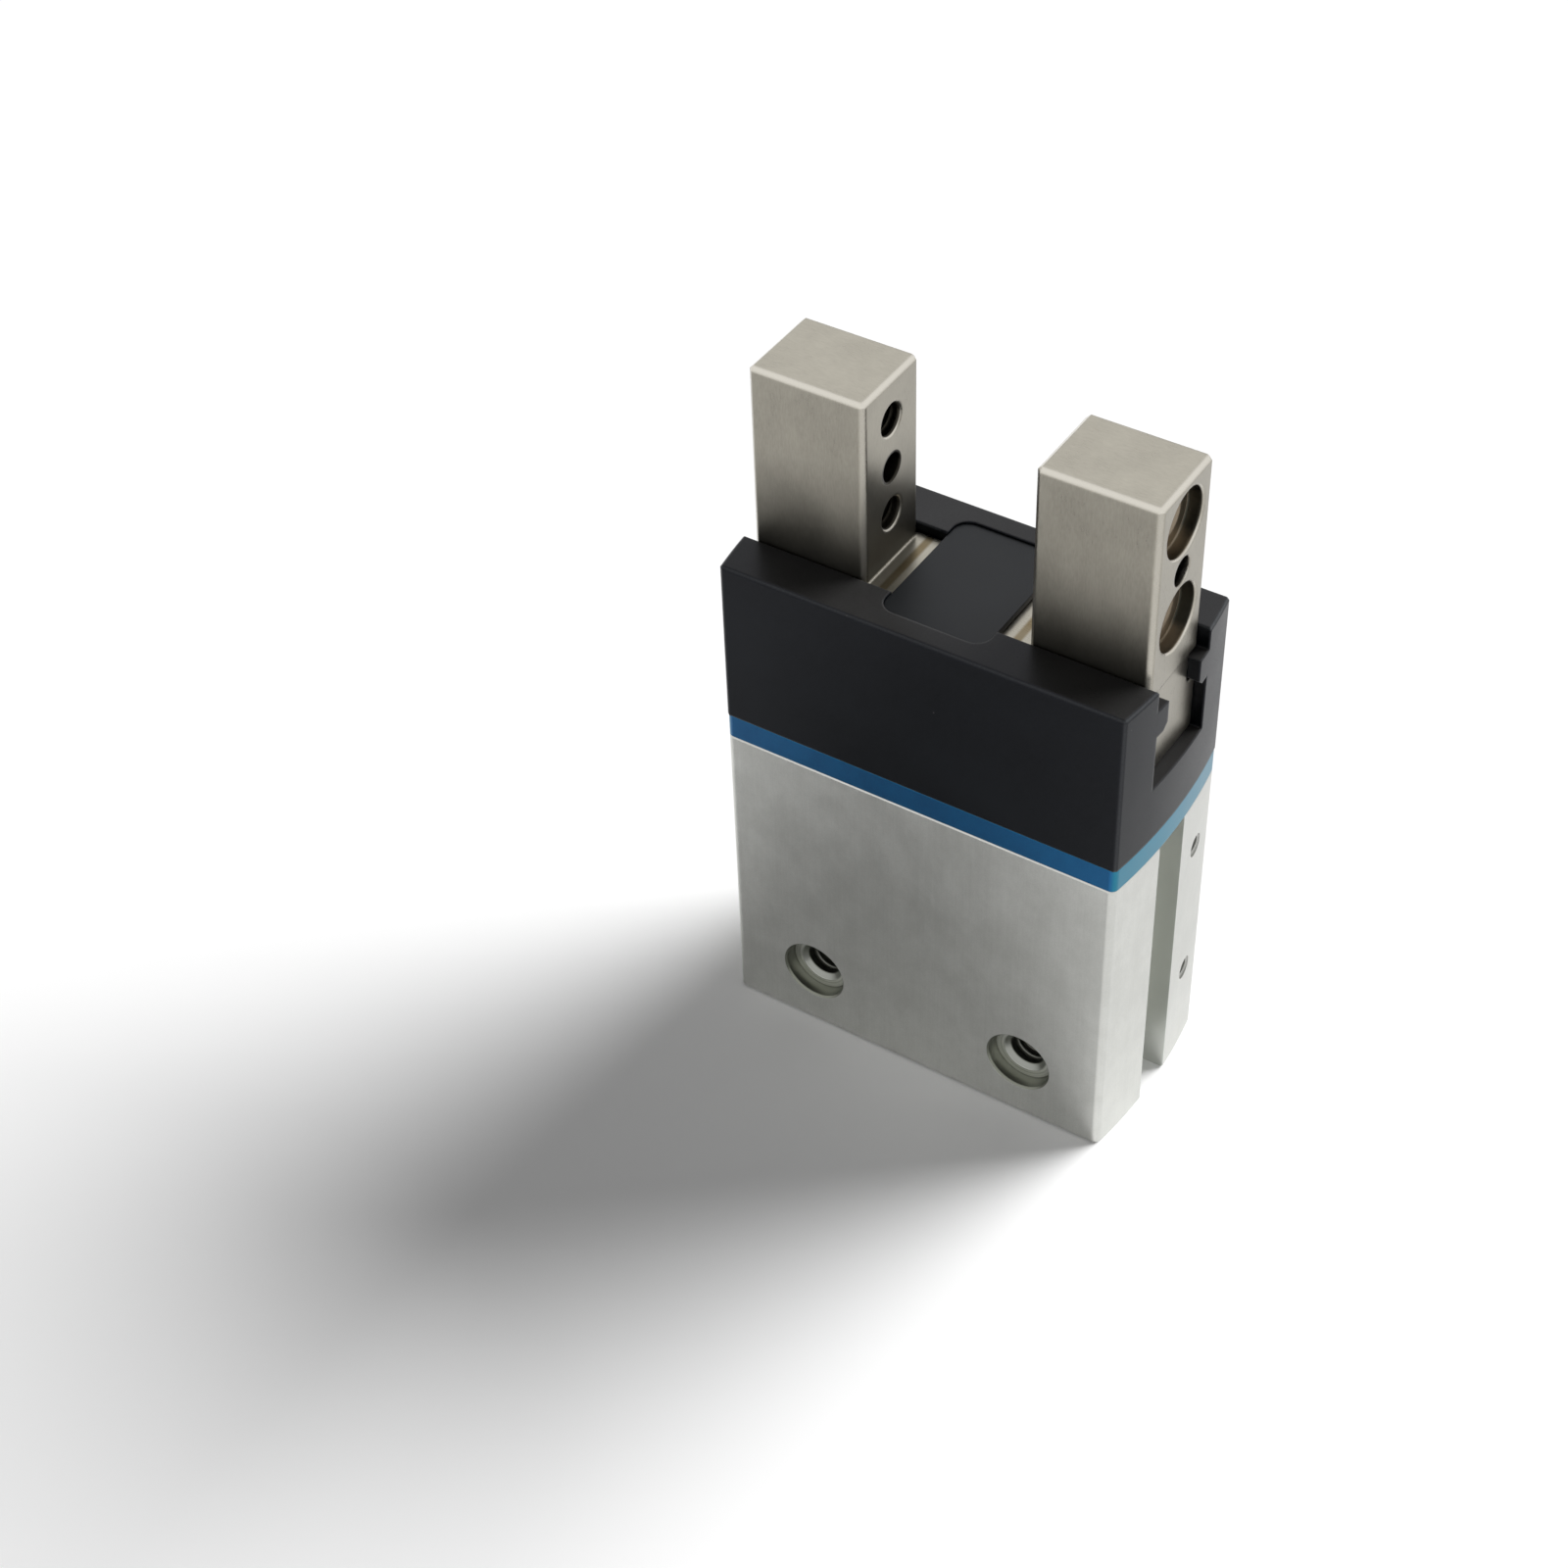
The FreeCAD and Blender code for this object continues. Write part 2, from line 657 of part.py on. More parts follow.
def make_guide_cover():
    body = new_body("guide_cover")
    pad_housing_outline(body, cover_bottom, s.cover_height)
    break_edges(
        body, s.cover_edge_break,
        lambda edge: is_housing_corner(edge) or is_level(edge, "z", cover_top),
    )
    cut_tee_slot(body)

    cavity_end = pivot_x + hub_reach
    cavity = new_sketch(body, "XY_Plane", cover_bottom)
    rectangle(cavity, -cavity_end, cavity_end, -lever_slot_half, lever_slot_half)
    pocket(body, cavity, s.slot_floor_height + PAST_FACE, backwards=True)
    crosshead_cavity = new_sketch(body, "XY_Plane", cover_bottom)
    half_long = crosshead_half_length + s.moving_gap
    half_wide = crosshead_half_width + s.lever_side_gap
    rectangle(crosshead_cavity, -half_long, half_long, -half_wide, half_wide)
    pocket(body, crosshead_cavity, s.slot_floor_height + PAST_FACE, backwards=True)

    pin_seat = s.pin_diameter / 2 + s.seat_clearance
    pin_seat_length = s.pin_length + s.dowel_end_gap
    round_seats = new_sketch(body, "XZ_Plane")
    for x in (pivot_x, -pivot_x):
        circle(round_seats, x, pivot_z, pin_seat * 2)
    pocket(body, round_seats, pin_seat_length, symmetric=True)
    open_seats = new_sketch(body, "XZ_Plane")
    for x in (pivot_x, -pivot_x):
        rectangle(open_seats, x - pin_seat, x + pin_seat, cover_bottom, pivot_z)
    pocket(body, open_seats, pin_seat_length, symmetric=True)

    thread_diameter = s.screw_diameter + s.thread_clearance * 2
    thread_depth = s.screw_reach + s.dowel_end_gap
    drill_holes(body, cover_bottom, thread_diameter, screw_places, thread_depth, backwards=True)
    dowel_depth = s.dowel_cover_reach + s.dowel_end_gap
    drill_holes(body, cover_bottom, dowel_hole_diameter, dowel_places, dowel_depth, backwards=True)

    plate_seat = new_sketch(body, "XY_Plane", cover_top)
    rounded_rectangle(
        plate_seat,
        s.centre_plate_length / 2 + s.centre_plate_clearance,
        s.centre_plate_width / 2 + s.centre_plate_clearance,
        s.centre_plate_round + s.centre_plate_clearance,
    )
    pocket(body, plate_seat, cover_top - centre_plate_bottom)
    return body


def cut_tee_slot(body):
    """The T-slot right through the cover: foot chamber, lips with broken lower edges, and the wider mouth."""
    chamber = s.slot_width / 2
    lip = s.lip_gap / 2
    mouth = s.finger_width / 2 + s.mouth_side_gap
    broken = s.lip_edge_break
    profile = new_sketch(body, "YZ_Plane")
    right_side = [
        (chamber, slot_floor), (chamber, lip_bottom), (lip + broken, lip_bottom), (lip, lip_bottom + broken),
        (lip, lip_top), (mouth, lip_top), (mouth, cover_top),
    ]
    left_side = [(-y, z) for y, z in reversed(right_side)]
    outline(profile, right_side + left_side)
    pocket(body, profile, s.housing_length + s.end_bulge * 2 + PAST_FACE, symmetric=True)
    break_edges(
        body, s.mouth_edge_break,
        lambda edge: is_level(edge, "z", cover_top) and near(abs(edge.CenterOfMass.y), mouth),
    )


def make_centre_plate():
    body = new_body("centre_plate")
    sketch = new_sketch(body, "XY_Plane", centre_plate_bottom)
    rounded_rectangle(sketch, s.centre_plate_length / 2, s.centre_plate_width / 2, s.centre_plate_round)
    pad(body, sketch, s.centre_plate_thickness)
    return body


def make_end_cap():
    cap_radius = s.cap_seat_diameter / 2 - s.guide_clearance
    dish_radius = s.cap_dish_diameter / 2
    dish_top = cap_bottom + s.cap_dish_depth
    groove_top = cap_seal_bottom + s.oring_groove_width
    return turned_body("end_cap", [
        (0, dish_top), (dish_radius, dish_top), (dish_radius, cap_bottom), (cap_radius, cap_bottom),
        (cap_radius, s.cap_seat_depth), (spigot_radius, s.cap_seat_depth),
        (spigot_radius, cap_seal_bottom), (oring_groove_radius, cap_seal_bottom),
        (oring_groove_radius, groove_top), (spigot_radius, groove_top),
        (spigot_radius, cap_top), (0, cap_top),
    ])


def make_retaining_ring():
    body = new_body("retaining_ring")
    outer_radius = s.cap_seat_diameter / 2 + s.ring_groove_depth - s.guide_clearance
    inner_radius = outer_radius - s.circlip_width
    thickness = s.ring_groove_width - s.guide_clearance * 2
    bottom = s.ring_groove_start + s.guide_clearance
    ring = new_sketch(body, "XY_Plane", bottom)
    circle(ring, 0, 0, outer_radius * 2)
    circle(ring, 0, 0, inner_radius * 2)
    pad(body, ring, thickness)
    gap = new_sketch(body, "XY_Plane", bottom)
    rectangle(gap, s.circlip_gap / -2, s.circlip_gap / 2, -outer_radius - PAST_FACE, inner_radius / -2)
    pocket(body, gap, thickness, backwards=True)
    lug_x = s.circlip_gap / 2 + s.circlip_lug_diameter / 2
    lug_y = s.circlip_lug_inset - inner_radius
    lug_places = [(lug_x, lug_y), (-lug_x, lug_y)]
    for feature, diameter in ((pad, s.circlip_lug_diameter), (pocket, s.circlip_hole_diameter)):
        sketch = new_sketch(body, "XY_Plane", bottom)
        for x, y in lug_places:
            circle(sketch, x, y, diameter)
        feature(body, sketch, thickness, backwards=feature is pocket)
    return body


def make_oring(name, groove_bottom):
    """An O-ring squeezed between its groove and the cylinder wall."""
    ring = doc.addObject("Part::Torus", name)
    ring.Label = name
    middle = (oring_groove_radius + bore_radius) / 2
    bind(ring, "Radius1", middle)
    bind(ring, "Radius2", s.oring_section / 2)
    bind(ring, "Placement.Base.z", groove_bottom + s.oring_groove_width / 2)
    return ring


def ring_profile(inner, outer, bottom, top):
    return [(inner, bottom), (outer, bottom), (outer, top), (inner, top)]


def make_bumper(name, bottom):
    inner = rod_radius + s.bumper_rod_gap
    outer = s.bumper_outer_diameter / 2
    return turned_body(name, ring_profile(inner, outer, bottom, bottom + s.bumper_thickness))


def lip_seal_profile(inner, outer, base, height, lips_up):
    """A U-shaped lip seal: a flat back at base and a V-notch between its lips on the pressure side."""
    middle = (inner + outer) / 2
    notch = s.lip_notch
    if lips_up:
        top = base + height
        return [
            (inner, base), (outer, base), (outer, top), (middle + notch / 2, top),
            (middle, top - notch), (middle - notch / 2, top), (inner, top),
        ]
    bottom = base - height
    return [
        (inner, bottom), (middle - notch / 2, bottom), (middle, bottom + notch), (middle + notch / 2, bottom),
        (outer, bottom), (outer, base), (inner, base),
    ]


def make_rod_bush():
    inner = rod_radius + s.running_clearance
    return turned_body("rod_bush", ring_profile(inner, bush_radius, bush_bottom, crosshead_pocket_floor))


def make_rod_seal():
    inner = rod_radius + s.running_clearance
    back = rod_seal_bottom + s.rod_seal_height + s.seal_gap
    profile = lip_seal_profile(inner, rod_seal_radius, back, s.rod_seal_height, lips_up=False)
    return turned_body("rod_seal", profile)


def socket_screw(name, shank_diameter, head_diameter, head_bottom, head_height, tip):
    """A socket screw standing on its head, with its hexagon socket in the underside."""
    shank = shank_diameter / 2
    head = head_diameter / 2
    head_top = head_bottom + head_height
    body = turned_body(name, [
        (0, head_bottom), (head, head_bottom), (head, head_top), (shank, head_top), (shank, tip), (0, tip),
    ])
    cut_socket(body, head_bottom, head * SOCKET_WIDTH_SHARE, head_height * SOCKET_DEPTH_SHARE, upwards=True)
    return body


def cut_socket(body, level, corner_distance, depth, upwards):
    socket = new_sketch(body, "XY_Plane", level)
    turns = [2 * math.pi * (number + 0.5) / HEXAGON_SIDES for number in range(HEXAGON_SIDES)]
    outline(socket, [(corner_distance * math.cos(turn), corner_distance * math.sin(turn)) for turn in turns])
    pocket(body, socket, depth, backwards=upwards)


def make_assembly_screws():
    head_bottom = s.screw_head_sink - s.screw_head_height
    screws = []
    for number, (x, y) in enumerate(screw_places, 1):
        screw = socket_screw(
            f"assembly_screw_{number}", s.screw_diameter, s.screw_head_diameter,
            head_bottom, s.screw_head_height, cover_bottom + s.screw_reach,
        )
        place(screw, x, y)
        screws.append(screw)
    return group("assembly_screws", screws)


def chamfered_pin(name, diameter, bottom, top):
    radius = diameter / 2
    small = radius - s.pin_edge_break
    return turned_body(name, [
        (0, bottom), (small, bottom), (radius, bottom + s.pin_edge_break),
        (radius, top - s.pin_edge_break), (small, top), (0, top),
    ])


def make_locating_pins():
    bottom = plate_bottom - s.dowel_body_reach
    top = cover_bottom + s.dowel_cover_reach
    pins = []
    for number, (x, y) in enumerate(dowel_places, 1):
        pin = chamfered_pin(f"locating_pin_{number}", s.dowel_diameter, bottom, top)
        place(pin, x, y)
        pins.append(pin)
    return group("locating_pins", pins)


def make_lever_pivot_pins():
    pins = []
    for number, x in enumerate((-pivot_x, pivot_x), 1):
        pin = chamfered_pin(f"lever_pivot_pin_{number}", s.pin_diameter, s.pin_length / -2, s.pin_length / 2)
        pin.Placement = FreeCAD.Placement(Vector(), FreeCAD.Rotation(Vector(1, 0, 0), 90))
        place(pin, x=x, z=pivot_z)
        pins.append(pin)
    return group("lever_pivot_pins", pins)


# Pieces that move

def turn_round(body, turned_round):
    """Puts a left-hand piece, which is the right-hand one turned half round, in its place."""
    angle = 180 if turned_round else 0
    body.Placement = FreeCAD.Placement(Vector(), FreeCAD.Rotation(Vector(0, 0, 1), angle))


def make_jaw(name, turned_round):
    """One jaw at rest: a T-foot and shoulder along X, and the finger on their outer end."""
    body = new_body(name)
    outer_face = s.finger_inner_face + s.finger_thickness
    foot_end = outer_face - s.foot_end_step
    finger_top = cover_top + s.finger_reach
    finger_base = lip_top + s.finger_base_gap
    foot_bottom = slot_floor + s.guide_clearance
    foot_top = lip_bottom - s.guide_clearance
    foot = s.slot_width / 2 - s.guide_clearance
    neck = s.lip_gap / 2 - s.guide_clearance
    shoulder = s.finger_width / 2
    shoulder_top = centre_plate_bottom - s.shoulder_gap
    rounded = s.neck_round

    tee = new_sketch(body, "YZ_Plane", s.jaw_inner_end)
    right_side = [
        (foot, foot_bottom), (foot, foot_top), (neck + rounded, foot_top), (neck, foot_top + rounded),
        (neck, finger_base), (shoulder, finger_base), (shoulder, shoulder_top),
    ]
    left_side = [(-y, z) for y, z in reversed(right_side)]
    outline(tee, right_side + left_side, {2: -rounded, 10: -rounded})
    pad(body, tee, foot_end - s.jaw_inner_end)
    break_edges(
        body, s.foot_edge_break,
        lambda edge: is_level(edge, "x", foot_end) and is_foot_edge(edge, foot, foot_bottom),
    )

    finger = new_sketch(body, "XZ_Plane")
    rectangle(finger, s.finger_inner_face, outer_face, finger_base, finger_top)
    pad(body, finger, s.finger_width, symmetric=True)
    break_edges(
        body, s.finger_edge_break,
        lambda edge: is_finger_edge(edge, outer_face, finger_top, shoulder),
    )
    cut_jaw_holes(body, outer_face, finger_top)
    cut_nose_slot(body, foot_bottom)
    turn_round(body, turned_round)
    return body


def is_foot_edge(edge, foot, foot_bottom):
    """The foot's upright sides and its bottom edge."""
    middle = edge.CenterOfMass
    upright_side = lies_along(edge, "z") and near(abs(middle.y), foot)
    return upright_side or (lies_along(edge, "y") and near(middle.z, foot_bottom))


def is_finger_edge(edge, outer_face, finger_top, shoulder):
    """The finger's upright corners and its top edges."""
    middle = edge.CenterOfMass
    if is_level(edge, "z", finger_top):
        return True
    on_end = near(middle.x, outer_face) or near(middle.x, s.finger_inner_face)
    return lies_along(edge, "z") and on_end and near(abs(middle.y), shoulder)


def cut_jaw_holes(body, outer_face, finger_top):
    """Two threaded holes with sleeve seats on the outer face, and a plain hole between them."""
    top_hole = finger_top - s.tip_to_hole
    middle_hole = top_hole - s.jaw_hole_pitch
    bottom_hole = middle_hole - s.jaw_hole_pitch
    through = s.finger_thickness + PAST_FACE
    for diameter, heights, depth in (
        (s.jaw_thread_diameter, (top_hole, bottom_hole), through),
        (s.sleeve_diameter, (top_hole, bottom_hole), s.sleeve_depth),
        (s.jaw_plain_diameter, (middle_hole,), through),
    ):
        sketch = new_sketch(body, "YZ_Plane", outer_face)
        for height in heights:
            circle(sketch, 0, height, diameter)
        pocket(body, sketch, depth)
    seat_floor = outer_face - s.sleeve_depth
    for size, diameter, face in (
        (s.sleeve_edge_break, s.sleeve_diameter, outer_face),
        (s.jaw_seat_thread_break, s.jaw_thread_diameter, seat_floor),
        (s.jaw_thread_break, s.jaw_thread_diameter, s.finger_inner_face),
    ):
        break_edges(body, size, lambda edge: is_rim(edge, diameter) and is_level(edge, "x", face))


def cut_nose_slot(body, foot_bottom):
    """The slot in the foot that the lever's nose drives: parallel round the nose and flared below it."""
    grip = s.jaw_nose_diameter / 2 + s.nose_clearance
    mouth = s.jaw_slot_mouth / 2
    roof = jaw_nose_z + s.jaw_nose_diameter / 2 + s.jaw_slot_roof_gap
    grip_bottom = jaw_nose_z - s.jaw_slot_grip_drop
    flare_bottom = grip_bottom - (mouth - grip)
    slot = new_sketch(body, "XZ_Plane")
    outline(slot, [
        (pivot_x - mouth, foot_bottom), (pivot_x + mouth, foot_bottom), (pivot_x + mouth, flare_bottom),
        (pivot_x + grip, grip_bottom), (pivot_x + grip, roof), (pivot_x - grip, roof),
        (pivot_x - grip, grip_bottom), (pivot_x - mouth, flare_bottom),
    ])
    pocket(body, slot, lever_slot_half * 2, symmetric=True)


def make_lever(name, turned_round):
    """A bell crank on its pin: one arm up into the jaw's foot and one inwards into the crosshead."""
    body = new_body(name)
    root = s.arm_root_width / 2
    tip = s.arm_tip_width / 2
    nose_x = s.piston_nose_offset
    for x, z, diameter in (
        (pivot_x, pivot_z, s.lever_hub_diameter),
        (pivot_x, jaw_nose_z, s.jaw_nose_diameter),
        (nose_x, pivot_z, s.piston_nose_diameter),
    ):
        disc = new_sketch(body, "XZ_Plane")
        circle(disc, x, z, diameter)
        if diameter is s.lever_hub_diameter:
            pad(body, disc, s.lever_width, symmetric=True)
            continue
        arm = new_sketch(body, "XZ_Plane")
        if x is pivot_x:
            outline(arm, [(x - root, pivot_z), (x + root, pivot_z), (x + tip, z), (x - tip, z)])
        else:
            outline(arm, [(x, z - tip), (pivot_x, z - root), (pivot_x, z + root), (x, z + tip)])
        pad(body, arm, s.lever_width, symmetric=True)
        pad(body, disc, s.lever_width, symmetric=True)
    bore = new_sketch(body, "XZ_Plane")
    circle(bore, pivot_x, pivot_z, s.pin_diameter + s.running_clearance * 2)
    pocket(body, bore, s.lever_width + PAST_FACE, symmetric=True)
    turn_round(body, turned_round)
    return body


def make_piston():
    radius = bore_radius - s.piston_clearance
    boss = s.piston_boss_diameter / 2
    profile = [(boss, piston_bottom), (boss, piston_bottom + s.piston_boss_height)]
    profile.append((radius, piston_bottom + s.piston_boss_height))
    for bottom, height, depth in (
        (lower_seal_groove, seal_groove_height, s.piston_seal_depth),
        (guide_groove, guide_groove_height, s.guide_ring_depth),
        (magnet_groove, magnet_groove_height, s.magnet_depth),
        (upper_seal_groove, seal_groove_height, s.piston_seal_depth),
    ):
        floor = radius - depth
        top = bottom + height
        profile += [(radius, bottom), (floor, bottom), (floor, top), (radius, top)]
    shoulder_top = piston_top - s.piston_boss_height
    rod_seat = rod_radius + s.seat_clearance
    hole = s.piston_screw_diameter / 2 + s.screw_clearance
    head_seat = s.piston_screw_head / 2 + s.screw_clearance
    head_seat_top = piston_bottom + s.piston_screw_sink
    profile += [
        (radius, shoulder_top), (boss, shoulder_top), (boss, piston_top),
        (rod_seat, piston_top), (rod_seat, rod_bottom), (hole, rod_bottom), (hole, head_seat_top),
        (head_seat, head_seat_top), (head_seat, piston_bottom),
    ]
    return turned_body("piston", profile)


def piston_ring_span(depth):
    """Inner and outer radius of a ring that sits in a piston groove and runs in the bore."""
    inner = bore_radius - s.piston_clearance - depth + s.seat_clearance
    return inner, bore_radius - s.running_clearance


def make_piston_seals():
    inner, outer = piston_ring_span(s.piston_seal_depth)
    lower_back = lower_seal_groove + s.ring_side_gap + s.piston_seal_height
    upper_back = upper_seal_groove + s.ring_side_gap
    lower = turned_body(
        "piston_seal_lower", lip_seal_profile(inner, outer, lower_back, s.piston_seal_height, lips_up=False))
    upper = turned_body(
        "piston_seal_upper", lip_seal_profile(inner, outer, upper_back, s.piston_seal_height, lips_up=True))
    return group("piston_seals", [lower, upper])


def make_piston_guide_ring():
    inner, outer = piston_ring_span(s.guide_ring_depth)
    bottom = guide_groove + s.ring_side_gap
    return turned_body("piston_guide_ring", ring_profile(inner, outer, bottom, bottom + s.guide_ring_height))


def make_piston_magnet():
    inner, _ = piston_ring_span(s.magnet_depth)
    outer = bore_radius - s.piston_clearance - s.ring_side_gap
    bottom = magnet_groove + s.ring_side_gap
    return turned_body("piston_magnet", ring_profile(inner, outer, bottom, bottom + s.magnet_height))


def make_piston_rod():
    lower_hole = s.piston_screw_diameter / 2 + s.thread_clearance
    lower_hole_top = rod_bottom + s.piston_screw_grip + s.screw_hole_spare
    upper_hole = s.crosshead_screw_diameter / 2 + s.thread_clearance
    upper_hole_bottom = crosshead_top - s.crosshead_screw_length - s.screw_hole_spare
    return turned_body("piston_rod", [
        (lower_hole, rod_bottom), (rod_radius, rod_bottom), (rod_radius, crosshead_bottom),
        (upper_hole, crosshead_bottom), (upper_hole, upper_hole_bottom), (0, upper_hole_bottom),
        (0, lower_hole_top), (lower_hole, lower_hole_top),
    ])


def make_piston_screw():
    head_bottom = piston_bottom + s.piston_screw_sink - s.piston_screw_head_height
    return socket_screw(
        "piston_screw", s.piston_screw_diameter, s.piston_screw_head,
        head_bottom, s.piston_screw_head_height, rod_bottom + s.piston_screw_grip,
    )


def make_crosshead():
    """A block with a slot in each end for the levers' inner noses, flared at its mouth."""
    body = new_body("crosshead")
    block = new_sketch(body, "XY_Plane", crosshead_bottom)
    end = crosshead_half_length
    side = crosshead_half_width
    rectangle(block, -end, end, -side, side)
    pad(body, block, crosshead_top - crosshead_bottom)
    half = crosshead_slot_half
    web = s.crosshead_web / 2
    flare = s.crosshead_mouth_break
    flare_start = end - flare
    right_slot = [
        (web, pivot_z - half), (flare_start, pivot_z - half), (end, pivot_z - half - flare),
        (end, pivot_z + half + flare), (flare_start, pivot_z + half), (web, pivot_z + half),
    ]
    slots = new_sketch(body, "XZ_Plane")
    outline(slots, right_slot)
    outline(slots, [(-x, z) for x, z in reversed(right_slot)])
    pocket(body, slots, side * 2 + PAST_FACE, symmetric=True)
    hole = s.crosshead_screw_diameter / 2 + s.screw_clearance
    sink = s.crosshead_screw_head / 2 + s.screw_clearance
    turn(body, "Groove", [
        (0, crosshead_bottom), (hole, crosshead_bottom), (hole, crosshead_top - (sink - hole)),
        (sink, crosshead_top), (0, crosshead_top),
    ])
    return body


def make_crosshead_screw():
    shank = s.crosshead_screw_diameter / 2
    head = s.crosshead_screw_head / 2
    tip = crosshead_top - s.crosshead_screw_length
    body = turned_body("crosshead_screw", [
        (0, tip), (shank, tip), (shank, crosshead_top - (head - shank)),
        (head, crosshead_top), (0, crosshead_top),
    ])
    socket_depth = (head - shank) * SOCKET_DEPTH_SHARE
    cut_socket(body, crosshead_top, head * SOCKET_WIDTH_SHARE, socket_depth, upwards=False)
    return body


def check_document():
    """Stops on any feature that failed, cuts nothing or left no valid solid."""
    for item in doc.Objects:
        faults = [state for state in item.State if state in ("Invalid", "Error")]
        if faults:
            raise RuntimeError(f"{item.Name}: {faults}")
        if item.TypeId in ("PartDesign::Pocket", "PartDesign::Groove"):
            if item.Shape.Volume > item.BaseFeature.Shape.Volume - NEARLY_ZERO:
                raise RuntimeError(f"{item.Name} cuts nothing")


def export(nodes):
    os.makedirs("parts", exist_ok=True)
    for node in nodes:
        if node.Shape.isNull() or not node.Shape.isValid() or not node.Shape.Solids:
            raise RuntimeError(f"{node.Label} has no valid solid")
    for node in nodes:
        node.Shape.exportStep(f"parts/{node.Label}.step")
        print(f"{node.Label}: {len(node.Shape.Solids)} solids, {node.Shape.Volume:.1f} cubic mm")


housing = [
    make_cylinder_body(),
    make_intermediate_plate(),
    make_guide_cover(),
    make_centre_plate(),
    make_end_cap(),
    make_retaining_ring(),
    make_oring("end_cap_seal", cap_seal_bottom),
    make_oring("plate_seal", plate_seal_top - s.oring_groove_width),
    make_bumper("lower_bumper", cap_top),
    make_bumper("upper_bumper", upper_bumper_bottom),
    make_rod_bush(),
    make_rod_seal(),
    make_assembly_screws(),
    make_locating_pins(),
    make_lever_pivot_pins(),
]
moving = [
    make_jaw("right_jaw", turned_round=False),
    make_jaw("left_jaw", turned_round=True),
    make_lever("right_lever", turned_round=False),
    make_lever("left_lever", turned_round=True),
    make_piston(),
    make_piston_seals(),
    make_piston_guide_ring(),
    make_piston_magnet(),
    make_piston_rod(),
    make_piston_screw(),
    make_crosshead(),
    make_crosshead_screw(),
]
doc.recompute()
check_document()
export(housing + moving)
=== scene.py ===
import json
import logging
import math
from dataclasses import dataclass
from enum import Enum

import bmesh
import bpy
from mathutils import Matrix, Vector


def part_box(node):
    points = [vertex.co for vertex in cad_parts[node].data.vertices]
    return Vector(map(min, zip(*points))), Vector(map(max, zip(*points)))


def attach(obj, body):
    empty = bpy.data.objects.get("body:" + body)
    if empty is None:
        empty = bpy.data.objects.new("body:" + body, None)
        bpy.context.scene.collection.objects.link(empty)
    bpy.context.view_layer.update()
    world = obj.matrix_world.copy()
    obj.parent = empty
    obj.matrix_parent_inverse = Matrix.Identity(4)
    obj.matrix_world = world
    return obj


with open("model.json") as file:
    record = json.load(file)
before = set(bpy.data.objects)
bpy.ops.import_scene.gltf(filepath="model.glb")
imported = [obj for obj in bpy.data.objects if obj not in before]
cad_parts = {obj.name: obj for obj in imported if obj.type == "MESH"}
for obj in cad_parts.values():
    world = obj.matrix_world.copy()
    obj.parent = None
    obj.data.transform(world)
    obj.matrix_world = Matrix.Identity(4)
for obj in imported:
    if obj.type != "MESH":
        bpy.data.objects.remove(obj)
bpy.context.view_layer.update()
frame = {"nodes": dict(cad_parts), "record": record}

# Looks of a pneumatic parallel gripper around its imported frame: a finish for every piece, the threads in its
# holes, a pale studio and the camera. Metres, in the frame's own axes: the jaws travel along X, the long side
# towards the camera is -Y, and Z points along the fingers.
# A Rate counts spots in a metre along each axis. A Span holds the two ends of a range or of a smooth step.

LOG = logging.getLogger("gripper")
MM = 0.001
NOISE_MIDDLE = 0.5
Color = tuple[float, float, float, float]
Rate = tuple[float, float, float]
Span = tuple[float, float]


def grey(level: float, warmth: float = 0.0) -> Color:
    """A grey of the given linear level, warmer where warmth is above zero and bluer below it."""
    return (level * (1 + warmth), level, level * (1 - warmth), 1.0)


class Axis(Enum):
    """One axis of the frame, by its index in a vector."""

    X = 0
    Y = 1
    Z = 2


